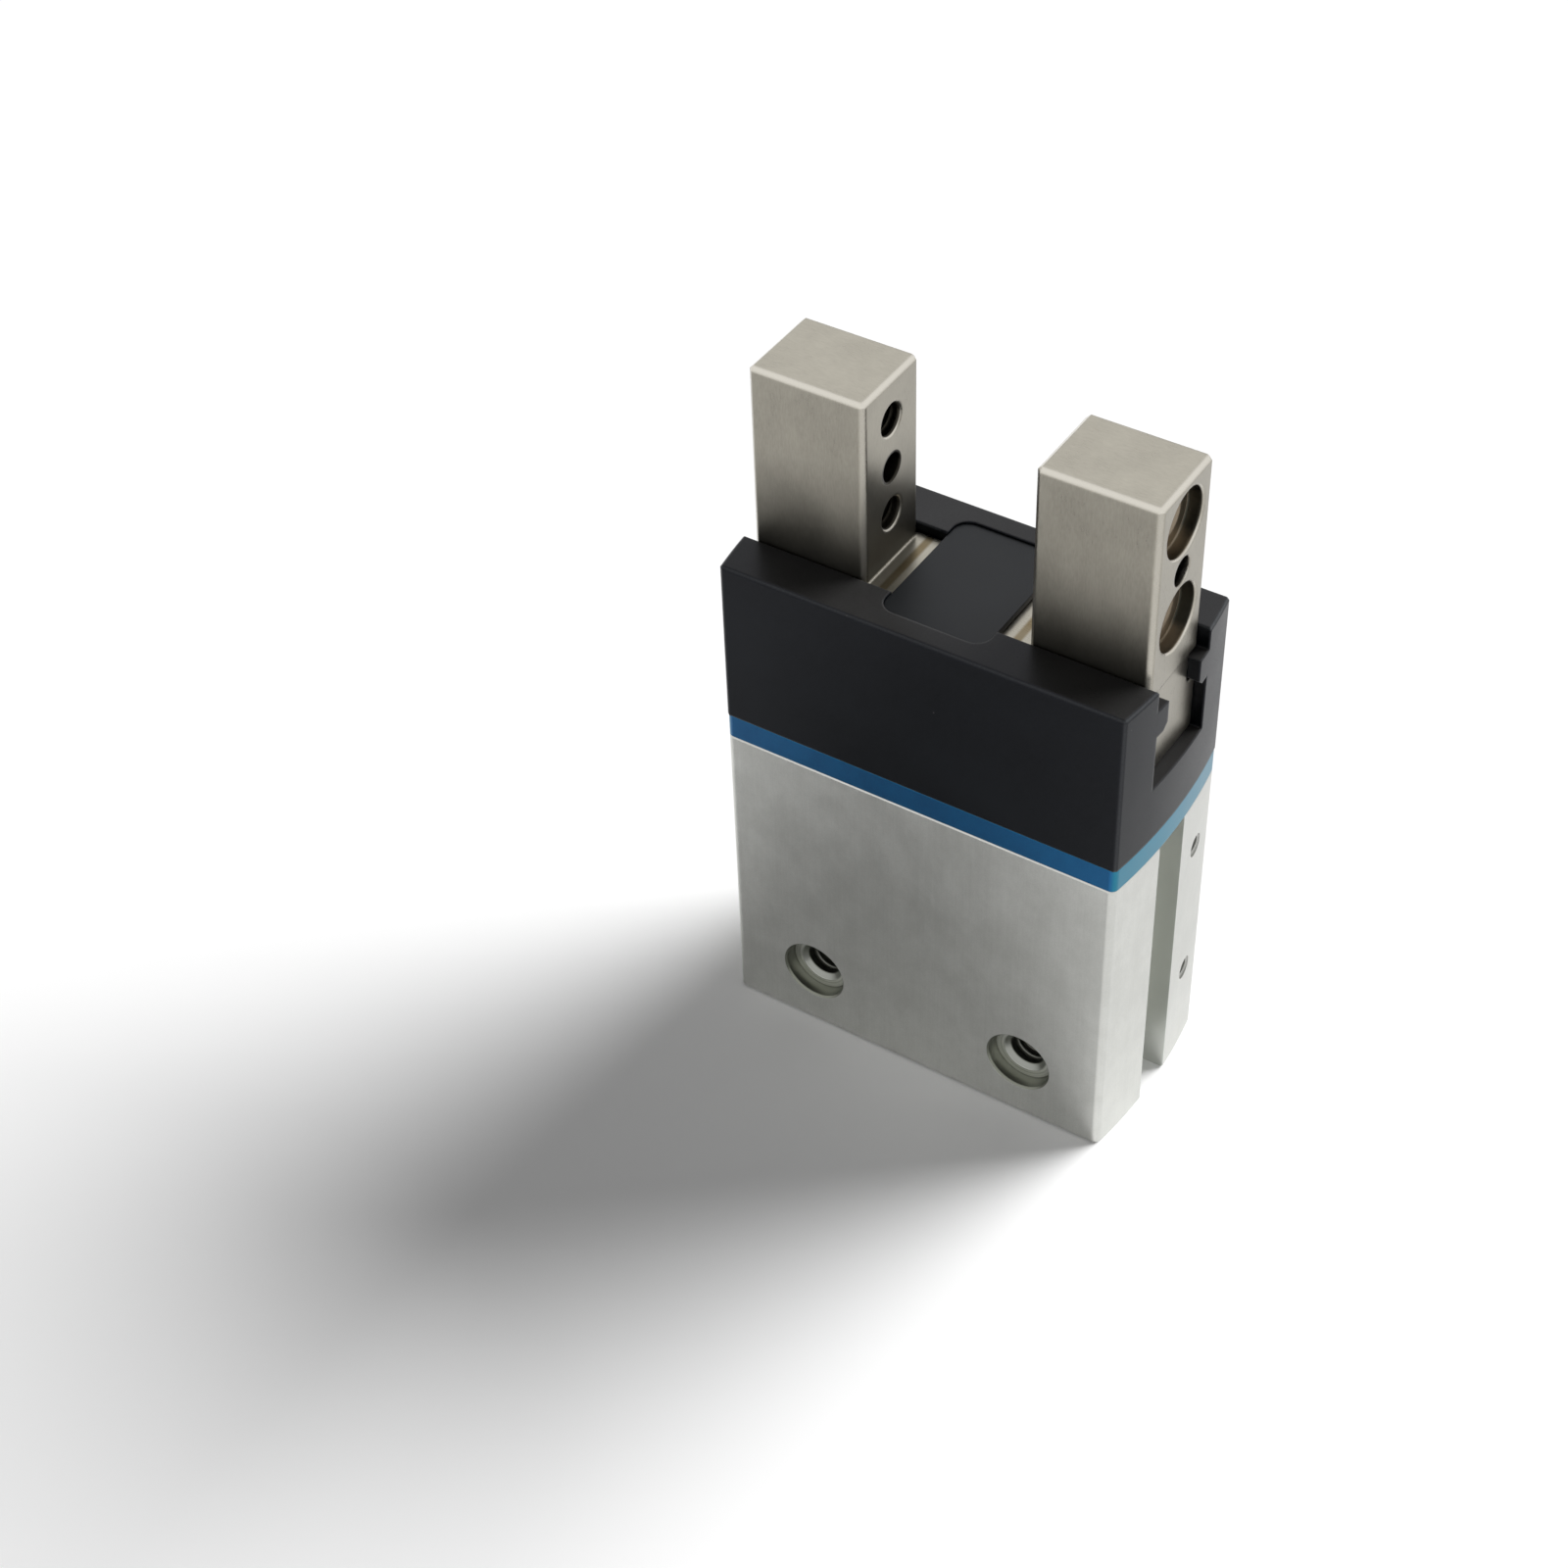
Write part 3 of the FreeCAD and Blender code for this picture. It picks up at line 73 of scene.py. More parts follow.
class Graph:
    """The node tree of one material or world, with one method that makes any node."""

    # An edge shows by how far its rounded normal turns, a broken edge by how squarely that faces an axis.
    EDGE_BEND: Span = (0.02, 0.2)
    CHAMFER_LEAN: Span = (0.72, 0.93)
    BEVEL_SAMPLES = 6
    CREVICE_SAMPLES = 8
    # Numbers of the sockets for colours on Blender's Mix node.
    MIX_FACTOR = 0
    MIX_FIRST_COLOR = 6
    MIX_SECOND_COLOR = 7
    MIX_COLOR = 2

    def __init__(self, tree: bpy.types.NodeTree) -> None:
        """Empties the tree and keeps it."""
        self.tree = tree
        tree.nodes.clear()

    def node(self, kind: str, settings: dict | None = None, inputs: dict | None = None,
             output: str | int = 0) -> "Wire":
        """Adds a node.

        Args:
            kind: Blender's type name of the node.
            settings: properties that are set first.
            inputs: values or wires by the name or number of their socket.
            output: the name or number of the socket that is returned.

        Returns:
            The chosen output as a wire.
        """
        made = self.tree.nodes.new(kind)
        for name, value in (settings or {}).items():
            setattr(made, name, value)
        for key, value in (inputs or {}).items():
            self.feed(made.inputs[key], value)
        return Wire(self, made.outputs[output]) if made.outputs else Wire(self, None)

    def feed(self, socket: bpy.types.NodeSocket, value: object) -> None:
        """Links a wire to a socket, or sets the socket's own value.

        Args:
            socket: the input to feed.
            value: a wire, a number, a vector or a colour.
        """
        if isinstance(value, Wire):
            self.tree.links.new(value.socket, socket)
        else:
            socket.default_value = value

    def place(self) -> "Wire":
        """The point on the piece, in the frame's axes."""
        return self.node("ShaderNodeTexCoord", output="Object")

    def along(self, axis: Axis) -> "Wire":
        """One coordinate of the point on the piece, in metres."""
        return self.node("ShaderNodeSeparateXYZ", inputs={0: self.place()}, output=axis.value)

    def facing(self, axis: Axis, normal: "Wire | None" = None) -> "Wire":
        """How squarely a normal, or else the surface, faces along an axis, from 0 to 1 either way."""
        normal = normal or self.node("ShaderNodeNewGeometry", output="Normal")
        return abs(self.node("ShaderNodeSeparateXYZ", inputs={0: normal}, output=axis.value))

    def noise(self, rate: Rate, detail: float = 2.0, sharp: float = 0.5) -> "Wire":
        """Noise between 0 and 1.

        Args:
            rate: how many grains there are in a metre along each axis.
            detail: octaves of finer noise.
            sharp: how strong the finer octaves are.

        Returns:
            The noise as a wire.
        """
        spread = {"Vector": self.place(), "Scale": rate}
        stretched = self.node("ShaderNodeMapping", {"vector_type": "POINT"}, spread)
        return self.node(
            "ShaderNodeTexNoise", {"noise_dimensions": "3D"},
            {"Vector": stretched, "Scale": 1.0, "Detail": detail, "Roughness": sharp}, "Fac",
        )

    def rings(self, reach: "Wire", per_metre: float) -> "Wire":
        """Uneven turning rings round an axis, between 0 and 1, from the distance to that axis."""
        settings = {"noise_dimensions": "1D"}
        return self.node("ShaderNodeTexNoise", settings, {"W": reach * per_metre, "Scale": 1.0}, "Fac")

    def ramp(self, value: "Wire", low: float, high: float) -> "Wire":
        """A smooth step up.

        Args:
            value: what is stepped.
            low: where the step starts, at 0.
            high: where it ends, at 1.

        Returns:
            A wire between 0 and 1.
        """
        return self.node(
            "ShaderNodeMapRange", {"interpolation_type": "SMOOTHSTEP", "clamp": True},
            {"Value": value, "From Min": low, "From Max": high, "To Min": 0.0, "To Max": 1.0},
        )

    def fall(self, value: "Wire", low: float, high: float) -> "Wire":
        """A smooth step down, from 1 at low to 0 at high."""
        return 1 - self.ramp(value, low, high)

    def past(self, value: "Wire", limit: float, fade: Span) -> "Wire":
        """A mask that rises to 1 past a limit; fade gives the ends of the step from that limit."""
        return self.ramp(value, limit + fade[0], limit + fade[1])

    def before(self, value: "Wire", limit: float, fade: Span) -> "Wire":
        """A mask that is 1 before a limit; fade gives the ends of the step from that limit."""
        return self.fall(value, limit + fade[0], limit + fade[1])

    def larger(self, first: "Wire", second: "Wire") -> "Wire":
        """The larger of two values."""
        return self.node("ShaderNodeMath", {"operation": "MAXIMUM"}, {0: first, 1: second})

    def reach(self, across: "Wire", up: "Wire") -> "Wire":
        """Distance from an axis, from the two coordinates square to it."""
        return self.node("ShaderNodeMath", {"operation": "SQRT"}, {0: across * across + up * up})

    def blend(self, factor: "Wire", first: "Wire | Color", second: "Wire | Color") -> "Wire":
        """Mixes two colours.

        Args:
            factor: how much of the second colour there is, from 0 to 1.
            first: a colour or its wire.
            second: a colour or its wire.

        Returns:
            The mixed colour as a wire.
        """
        settings = {"data_type": "RGBA", "blend_type": "MIX", "clamp_factor": True}
        inputs = {self.MIX_FACTOR: factor, self.MIX_FIRST_COLOR: first, self.MIX_SECOND_COLOR: second}
        return self.node("ShaderNodeMix", settings, inputs, self.MIX_COLOR)

    def soft_normal(self, radius: float) -> "Wire":
        """The surface normal with its edges rounded by radius."""
        return self.node("ShaderNodeBevel", {"samples": self.BEVEL_SAMPLES}, {"Radius": radius})

    def edges(self, radius: float) -> "Wire":
        """Finds the edges.

        Args:
            radius: about how wide they are, in metres.

        Returns:
            A mask that is 1 along edges and 0 on flats.
        """
        normals = {0: self.soft_normal(radius), 1: self.node("ShaderNodeNewGeometry", output="Normal")}
        likeness = self.node("ShaderNodeVectorMath", {"operation": "DOT_PRODUCT"}, normals, "Value")
        return self.ramp(1 - likeness, *self.EDGE_BEND)

    def chamfers(self, radius: float) -> "Wire":
        """Finds the broken edges, which lean between the axes.

        Args:
            radius: how far they fade out beside them, in metres.

        Returns:
            A mask that is 1 on broken edges and 0 on flats.
        """
        normal = self.soft_normal(radius)
        sideways = self.larger(self.facing(Axis.X, normal), self.facing(Axis.Y, normal))
        return self.fall(self.larger(sideways, self.facing(Axis.Z, normal)), *self.CHAMFER_LEAN)

    def crevices(self, reach: float) -> "Wire":
        """A mask that rises to 1 deep in holes and corners narrower than reach, where the finishes paint
        shade.
        """
        settings = {"samples": self.CREVICE_SAMPLES, "only_local": True}
        return 1 - self.node("ShaderNodeAmbientOcclusion", settings, {"Distance": reach}, "AO")

    def bump(self, relief: "Wire", strength: float, height: float, radius: float) -> "Wire":
        """A normal with bumps on top of softened edges.

        Args:
            relief: the bumps, between 0 and 1.
            strength: how much of them shows.
            height: how tall they are, in metres.
            radius: how far the edges are softened, in metres.

        Returns:
            The normal as a wire.
        """
        smooth = self.soft_normal(radius)
        inputs = {"Strength": strength, "Distance": height, "Height": relief, "Normal": smooth}
        return self.node("ShaderNodeBump", inputs=inputs)

    def surface(self, sockets: dict[str, object]) -> None:
        """Closes the material with a principled shader; sockets holds values or wires by socket name."""
        shader = self.node("ShaderNodeBsdfPrincipled", inputs=sockets)
        self.node("ShaderNodeOutputMaterial", inputs={"Surface": shader})


@dataclass
class Wire:
    """A socket of a graph, so that shader maths reads as Python expressions."""

    graph: Graph
    socket: bpy.types.NodeSocket | None

    def _math(self, operation: str, first: "Wire | float", second: "Wire | float") -> "Wire":
        """Adds a Math node on two values or wires."""
        return self.graph.node("ShaderNodeMath", {"operation": operation}, {0: first, 1: second})

    def __abs__(self) -> "Wire":
        """The value without its sign."""
        return self.graph.node("ShaderNodeMath", {"operation": "ABSOLUTE"}, {0: self})

    def __add__(self, other: "Wire | float") -> "Wire":
        """The sum."""
        return self._math("ADD", self, other)

    def __radd__(self, other: "Wire | float") -> "Wire":
        """The sum, the other way round."""
        return self._math("ADD", other, self)

    def __sub__(self, other: "Wire | float") -> "Wire":
        """The difference."""
        return self._math("SUBTRACT", self, other)

    def __rsub__(self, other: "Wire | float") -> "Wire":
        """The difference, the other way round."""
        return self._math("SUBTRACT", other, self)

    def __mul__(self, other: "Wire | float") -> "Wire":
        """The product."""
        return self._math("MULTIPLY", self, other)

    def __rmul__(self, other: "Wire | float") -> "Wire":
        """The product, the other way round."""
        return self._math("MULTIPLY", other, self)

    def __mod__(self, other: "Wire | float") -> "Wire":
        """The remainder, never below zero."""
        return self._math("FLOORED_MODULO", self, other)

    def __rmod__(self, other: "Wire | float") -> "Wire":
        """The remainder, the other way round."""
        return self._math("FLOORED_MODULO", other, self)


@dataclass(frozen=True)
class Finish:
    """A material by name; each kind of finish says how its nodes are laid."""

    name: str

    def paint(self, graph: Graph) -> None:
        """Lays the nodes of the finish."""
        raise NotImplementedError

    def soil(self, graph: Graph, clean: Wire, wear_and_highlight: Wire) -> tuple[Wire, Wire]:
        """Colour and edge wear with its painted highlight, with the marks of use and of painted light; a plain
        finish has none.
        """
        return clean, wear_and_highlight

    def material(self) -> bpy.types.Material:
        """Makes the material once.

        Returns:
            The finish as a material.
        """
        title = f"{self.name}_finish"
        made = bpy.data.materials.get(title)
        if made is None:
            made = bpy.data.materials.new(title)
            made.use_nodes = True
            self.paint(Graph(made.node_tree))
        return made

    def dress(self, piece: bpy.types.Object) -> None:
        """Puts the finish on every slot of a piece.

        Args:
            piece: the object that is dressed.
        """
        if not piece.material_slots:
            piece.data.materials.append(self.material())
        for slot in piece.material_slots:
            slot.material = self.material()


@dataclass(frozen=True, kw_only=True)
class SatinAnodised(Finish):
    """Blasted and anodised aluminium: a fine even grain, faint drawing lines along Z, painted shade in hollows
    and paler edges, partly wear and partly a painted highlight.
    """

    shade: Color
    tint: Color
    edge: Color
    hollow_shade: Color
    roughness: float
    metallic: float
    drawn: float = 0.3
    coat: float = 0.0
    crevice_reach: float = 3.5 * MM
    edge_radius: float = 0.18 * MM
    grain_rate: Rate = (5200.0, 5200.0, 5200.0)
    line_rate: Rate = (4200.0, 4200.0, 90.0)
    cloud_rate: Rate = (45.0, 45.0, 45.0)
    mottle_rate: Rate = (330.0, 330.0, 240.0)
    cloud_share: float = 0.35
    mottle_share: float = 0.3
    grain_share: float = 0.25
    line_share: float = 0.15
    tone_span: Span = (0.3, 0.7)
    hollow_shade_span: Span = (0.25, 0.9)
    hollow_shade_even: float = 0.7
    hollow_shade_patchy: float = 0.5
    wear_highlight_even: float = 0.35
    wear_highlight_patchy: float = 0.5
    gloss_swing: float = 0.14
    worn_polish: float = 0.08
    hollow_dulling: float = 0.15
    line_relief: float = 0.5
    bump_strength: float = 0.12
    bump_height: float = 0.02 * MM

    def dye_and_end_light(self, graph: Graph, tone: Wire) -> Wire:
        """The colour of the flats, between shade and tint."""
        return graph.blend(tone, self.shade, self.tint)

    def paint(self, graph: Graph) -> None:
        """Lays grain, cloudiness, mottling, painted shade in holes and corners, and edge wear with a painted
        highlight.

        Args:
            graph: the material's graph.
        """
        grain = graph.noise(self.grain_rate, detail=3.0, sharp=0.6)
        lines = graph.noise(self.line_rate)
        cloud = graph.noise(self.cloud_rate, detail=3.0)
        mottle = graph.noise(self.mottle_rate, detail=5.0, sharp=0.7)
        tone = cloud * self.cloud_share + mottle * self.mottle_share + grain * self.grain_share
        dyed_and_end_lit = self.dye_and_end_light(graph, graph.ramp(tone + lines * (self.line_share * self.drawn), *self.tone_span))
        # Painted shade: ambient occlusion darkens holes and corners towards the hollow colour, and makes them
        # rougher.
        deep = graph.ramp(graph.crevices(self.crevice_reach), *self.hollow_shade_span)
        hollow_shading = deep * (self.hollow_shade_even + mottle * self.hollow_shade_patchy)
        skin, wear_and_highlight = self.soil(graph, graph.blend(hollow_shading, dyed_and_end_lit, self.hollow_shade), graph.edges(self.edge_radius))
        # Paler edges: partly wear, partly a painted highlight.
        polish_and_highlight = wear_and_highlight * (self.wear_highlight_even + grain * self.wear_highlight_patchy)
        grained = self.roughness + (grain - NOISE_MIDDLE) * self.gloss_swing
        uneven = grained + (mottle - NOISE_MIDDLE) * self.gloss_swing
        line_relief = self.line_relief * self.drawn
        relief = grain * (1 - line_relief) + lines * line_relief
        graph.surface({
            "Base Color": graph.blend(polish_and_highlight, skin, self.edge),
            "Roughness": uneven - wear_and_highlight * self.worn_polish + hollow_shading * self.hollow_dulling,
            "Metallic": self.metallic,
            "Coat Weight": self.coat,
            "Coat Roughness": self.roughness,
            "Normal": graph.bump(relief, self.bump_strength, self.bump_height, self.edge_radius),
        })


@dataclass(frozen=True, kw_only=True)
class DyedAnodised(SatinAnodised):
    """Dyed aluminium, with painted light: its bulged ends carry a lit copy of the colour, paler and greener,
    and its flat sides a shaded copy.
    """

    lit_end_shade: Color
    lit_end_tint: Color
    lit_end_turn: Span = (0.15, 0.8)

    def dye_and_end_light(self, graph: Graph, tone: Wire) -> Wire:
        """The shaded colour of the sides and the lit colour of the ends, parted softly round the corners:
        painted light.

        Args:
            graph: the material's graph.
            tone: from 0 for the shades to 1 for the tints.

        Returns:
            The colour as a wire.
        """
        sides = graph.blend(tone, self.shade, self.tint)
        ends = graph.blend(tone, self.lit_end_shade, self.lit_end_tint)
        # Painted light: surfaces facing along X take the lit copy.
        return graph.blend(graph.ramp(graph.facing(Axis.X), *self.lit_end_turn), sides, ends)


@dataclass(frozen=True, kw_only=True)
class BodyAnodised(SatinAnodised):
    """The body's clear anodised skin, with grooves in painted light, and uncoated turned metal in its side
    holes, their walls, countersinks and bores in painted shade.
    """

    hole_out: float
    hole_up: float
    seat_radius: float
    cone_radius: float
    bore_radius: float
    turned: Color
    seat_wall_shade: Color
    cone_shade: Color
    bore_shade: Color
    groove_half: float
    groove_floor: float
    groove_lit_tint: Color
    groove_side_fade: Span = (0.02 * MM, 0.1 * MM)
    groove_floor_fade: Span = (-0.5 * MM, 0.0)
    rim_fade: Span = (0.2 * MM, 0.3 * MM)
    wall_fade: Span = (-0.25 * MM, -0.05 * MM)
    cone_fade: Span = (-0.1 * MM, 0.1 * MM)
    bore_fade: Span = (0.0, 0.15 * MM)
    rings_per_metre: float = 4200.0
    ring_span: Span = (0.3, 0.8)
    ring_weight: float = 0.35

    def groove(self, graph: Graph) -> Wire:
        """Finds the sensor grooves.

        Args:
            graph: the material's graph.

        Returns:
            A mask that is 1 on their walls and floors.
        """
        between = graph.before(abs(graph.along(Axis.Y)), self.groove_half, self.groove_side_fade)
        return between * graph.past(abs(graph.along(Axis.X)), self.groove_floor, self.groove_floor_fade)

    def soil(self, graph: Graph, clean: Wire, wear_and_highlight: Wire) -> tuple[Wire, Wire]:
        """Colour and edges with grooves in painted light, turned seats, and painted shade on the seat walls,
        countersinks and bores.

        Args:
            graph: the material's graph.
            clean: the colour of the anodised skin, with its painted shade in hollows.
            wear_and_highlight: where the edges show wear and a painted highlight.

        Returns:
            The colour with its holes, and the wear and painted highlight left outside them.
        """
        reach = graph.reach(abs(graph.along(Axis.X)) - self.hole_out, graph.along(Axis.Z) - self.hole_up)
        inside = graph.before(reach, self.seat_radius, self.rim_fade)
        wall = graph.past(reach, self.seat_radius, self.wall_fade)
        sunk = graph.before(reach, self.cone_radius, self.cone_fade)
        bore = graph.before(reach, self.bore_radius, self.bore_fade)
        rings = graph.ramp(graph.rings(reach, self.rings_per_metre), *self.ring_span)
        # Painted shade: the seat walls, the countersink and the bore are darker than the turned floor.
        seat = graph.blend(rings * (1 - wall) * self.ring_weight + wall, self.turned, self.seat_wall_shade)
        bare_and_shaded = graph.blend(bore, graph.blend(sunk, seat, self.cone_shade), self.bore_shade)
        # Painted light: the grooves are painted paler than the skin.
        skin = graph.blend(self.groove(graph), clean, self.groove_lit_tint)
        return graph.blend(inside, skin, bare_and_shaded), wear_and_highlight * (1 - inside)


@dataclass(frozen=True, kw_only=True)
class BlackAnodised(Finish):
    """Black anodised aluminium: satin, with a fine grain, paler broken edges that are partly wear and partly a
    painted highlight, and a few specks of dust.
    """

    dark: Color
    light: Color
    edge: Color
    dust: Color
    gloss_tint: Color
    roughness: float
    specular: float
    settled: float = 0.0
    edge_radius: float = 0.16 * MM
    sheltered: tuple[float, float] = (0.0, 0.0)
    shelter_fade: Span = (0.0, 0.2 * MM)
    grain_rate: Rate = (5600.0, 5600.0, 5600.0)
    cloud_rate: Rate = (60.0, 60.0, 60.0)
    cloud_share: float = 0.6
    grain_share: float = 0.4
    tone_span: Span = (0.35, 0.7)
    level_span: Span = (0.8, 0.95)
    dust_even: float = 0.4
    dust_patchy: float = 0.6
    wear_highlight_even: float = 0.4
    wear_highlight_patchy: float = 0.8
    specks_per_metre: float = 170.0
    speck_span: Span = (0.018, 0.03)
    speck_weight: float = 0.5
    patch_rate: Rate = (120.0, 120.0, 120.0)
    patch_span: Span = (0.5, 0.58)
    grain_swing: float = 0.2
    cloud_swing: float = 0.22
    speck_dulling: float = 0.2
    bump_strength: float = 0.1
    bump_height: float = 0.02 * MM

    def shelter(self, graph: Graph) -> Wire:
        """Finds the middle, where a fitted piece keeps the edges from wear, so that no highlight is painted on
        them either.

        Args:
            graph: the material's graph.

        Returns:
            A mask that is 1 within the sheltered reach along X and Y.
        """
        long, deep = self.sheltered
        within_long = graph.before(abs(graph.along(Axis.X)), long, self.shelter_fade)
        return within_long * graph.before(abs(graph.along(Axis.Y)), deep, self.shelter_fade)

    def specks(self, graph: Graph) -> Wire:
        """Scatters specks of dust in loose patches.

        Args:
            graph: the material's graph.

        Returns:
            A mask that is 1 on the specks.
        """
        inputs = {"Vector": graph.place(), "Scale": self.specks_per_metre, "Randomness": 1.0}
        distance = graph.node("ShaderNodeTexVoronoi", {"feature": "F1"}, inputs, "Distance")
        patches = graph.ramp(graph.noise(self.patch_rate), *self.patch_span)
        return graph.fall(distance, *self.speck_span) * patches

    def paint(self, graph: Graph) -> None:
        """Lays grain, edge wear with a painted highlight, and dust.

        Args:
            graph: the material's graph.
        """
        grain = graph.noise(self.grain_rate, detail=3.0, sharp=0.6)
        cloud = graph.noise(self.cloud_rate, detail=4.0)
        tone = graph.ramp(cloud * self.cloud_share + grain * self.grain_share, *self.tone_span)
        level = graph.ramp(graph.facing(Axis.Z), *self.level_span)
        patchy = self.dust_even + cloud * self.dust_patchy + grain * self.dust_patchy
        skin = graph.blend(level * patchy * self.settled, graph.blend(tone, self.dark, self.light), self.dust)
        # Paler broken edges, except round the plate: partly wear, partly a painted highlight.
        wear_and_highlight = graph.chamfers(self.edge_radius) * (1 - self.shelter(graph))
        edged = graph.blend(wear_and_highlight * (self.wear_highlight_even + grain * self.wear_highlight_patchy), skin, self.edge)
        specks = self.specks(graph)
        grained = self.roughness + (grain - NOISE_MIDDLE) * self.grain_swing
        uneven = grained + (cloud - NOISE_MIDDLE) * self.cloud_swing
        graph.surface({
            "Base Color": graph.blend(specks * self.speck_weight, edged, self.dust),
            "Roughness": uneven + specks * self.speck_dulling,
            "Metallic": 0.0,
            "Specular IOR Level": self.specular,
            "Specular Tint": self.gloss_tint,
            "Normal": graph.bump(grain, self.bump_strength, self.bump_height, self.edge_radius),
        })


@dataclass(frozen=True, kw_only=True)
class GroundSteel(Finish):
    """Ground steel: streaks along Z on upright faces and along X on level ones, level faces painted paler as
    painted light, and edges with wear and a painted highlight.
    """

    shade: Color
    tint: Color
    edge: Color
    roughness: float
    edge_radius: float = 0.3 * MM
    streaks_across: float = 6000.0
    streaks_along: float = 1100.0
    cloud_rate: Rate = (170.0, 170.0, 120.0)
    streak_share: float = 0.4
    cloud_share: float = 0.6
    tone_span: Span = (0.2, 0.8)
    tone_share: float = 0.5
    top_span: Span = (0.6, 0.8)
    top_light_share: float = 0.5
    rise_span: Span = (0.2, 0.6)
    upright_wear_highlight: float = 0.4
    rising_wear_highlight: float = 0.6
    wear_highlight_weight: float = 0.9
    streak_swing: float = 0.1
    cloud_swing: float = 0.12
    worn_polish: float = 0.06
    foot_dulling: float = 0.2
    bump_strength: float = 0.04
    bump_height: float = 0.01 * MM

    def streaks(self, graph: Graph, top: Wire) -> Wire:
        """Lays grinding streaks.

        Args:
            graph: the material's graph.
            top: 1 on level faces and 0 on upright ones.

        Returns:
            A wire between 0 and 1.
        """
        upright = graph.noise((self.streaks_across, self.streaks_across, self.streaks_along))
        level = graph.noise((self.streaks_along, self.streaks_across, self.streaks_across))
        return upright * (1 - top) + level * top

    def foot_shade(self, graph: Graph) -> Wire | float:
        """How much painted shade and roughness the finger's foot gets, from 0 to 1; plain ground steel has
        none.
        """
        return 0.0

    def paint(self, graph: Graph) -> None:
        """Lays streaks, cloudiness, painted light on level faces, edge wear with a painted highlight, and
        marks.

        Args:
            graph: the material's graph.
        """
        top = graph.ramp(graph.facing(Axis.Z), *self.top_span)
        streaks = self.streaks(graph, top)
        cloud = graph.noise(self.cloud_rate, detail=5.0, sharp=0.65)
        tone = graph.ramp(streaks * self.streak_share + cloud * self.cloud_share, *self.tone_span)
        # Painted light: level faces are paler than upright ones.
        clean = graph.blend(tone * self.tone_share + top * self.top_light_share, self.shade, self.tint)
        rising = graph.ramp(graph.facing(Axis.Z), *self.rise_span)
        # Paler edges, more so where they lean upwards: partly wear, partly a painted highlight.
        polish_and_highlight = graph.chamfers(self.edge_radius) * (self.upright_wear_highlight + rising * self.rising_wear_highlight)
        color, wear_and_highlight = self.soil(graph, clean, polish_and_highlight)
        uneven = self.roughness + (streaks - NOISE_MIDDLE) * self.streak_swing
        clouded = uneven + (cloud - NOISE_MIDDLE) * self.cloud_swing
        graph.surface({
            "Base Color": graph.blend(wear_and_highlight * self.wear_highlight_weight, color, self.edge),
            "Roughness": clouded - wear_and_highlight * self.worn_polish + self.foot_shade(graph) * self.foot_dulling,
            "Metallic": 1.0,
            "Normal": graph.bump(streaks, self.bump_strength, self.bump_height, self.edge_radius),
        })


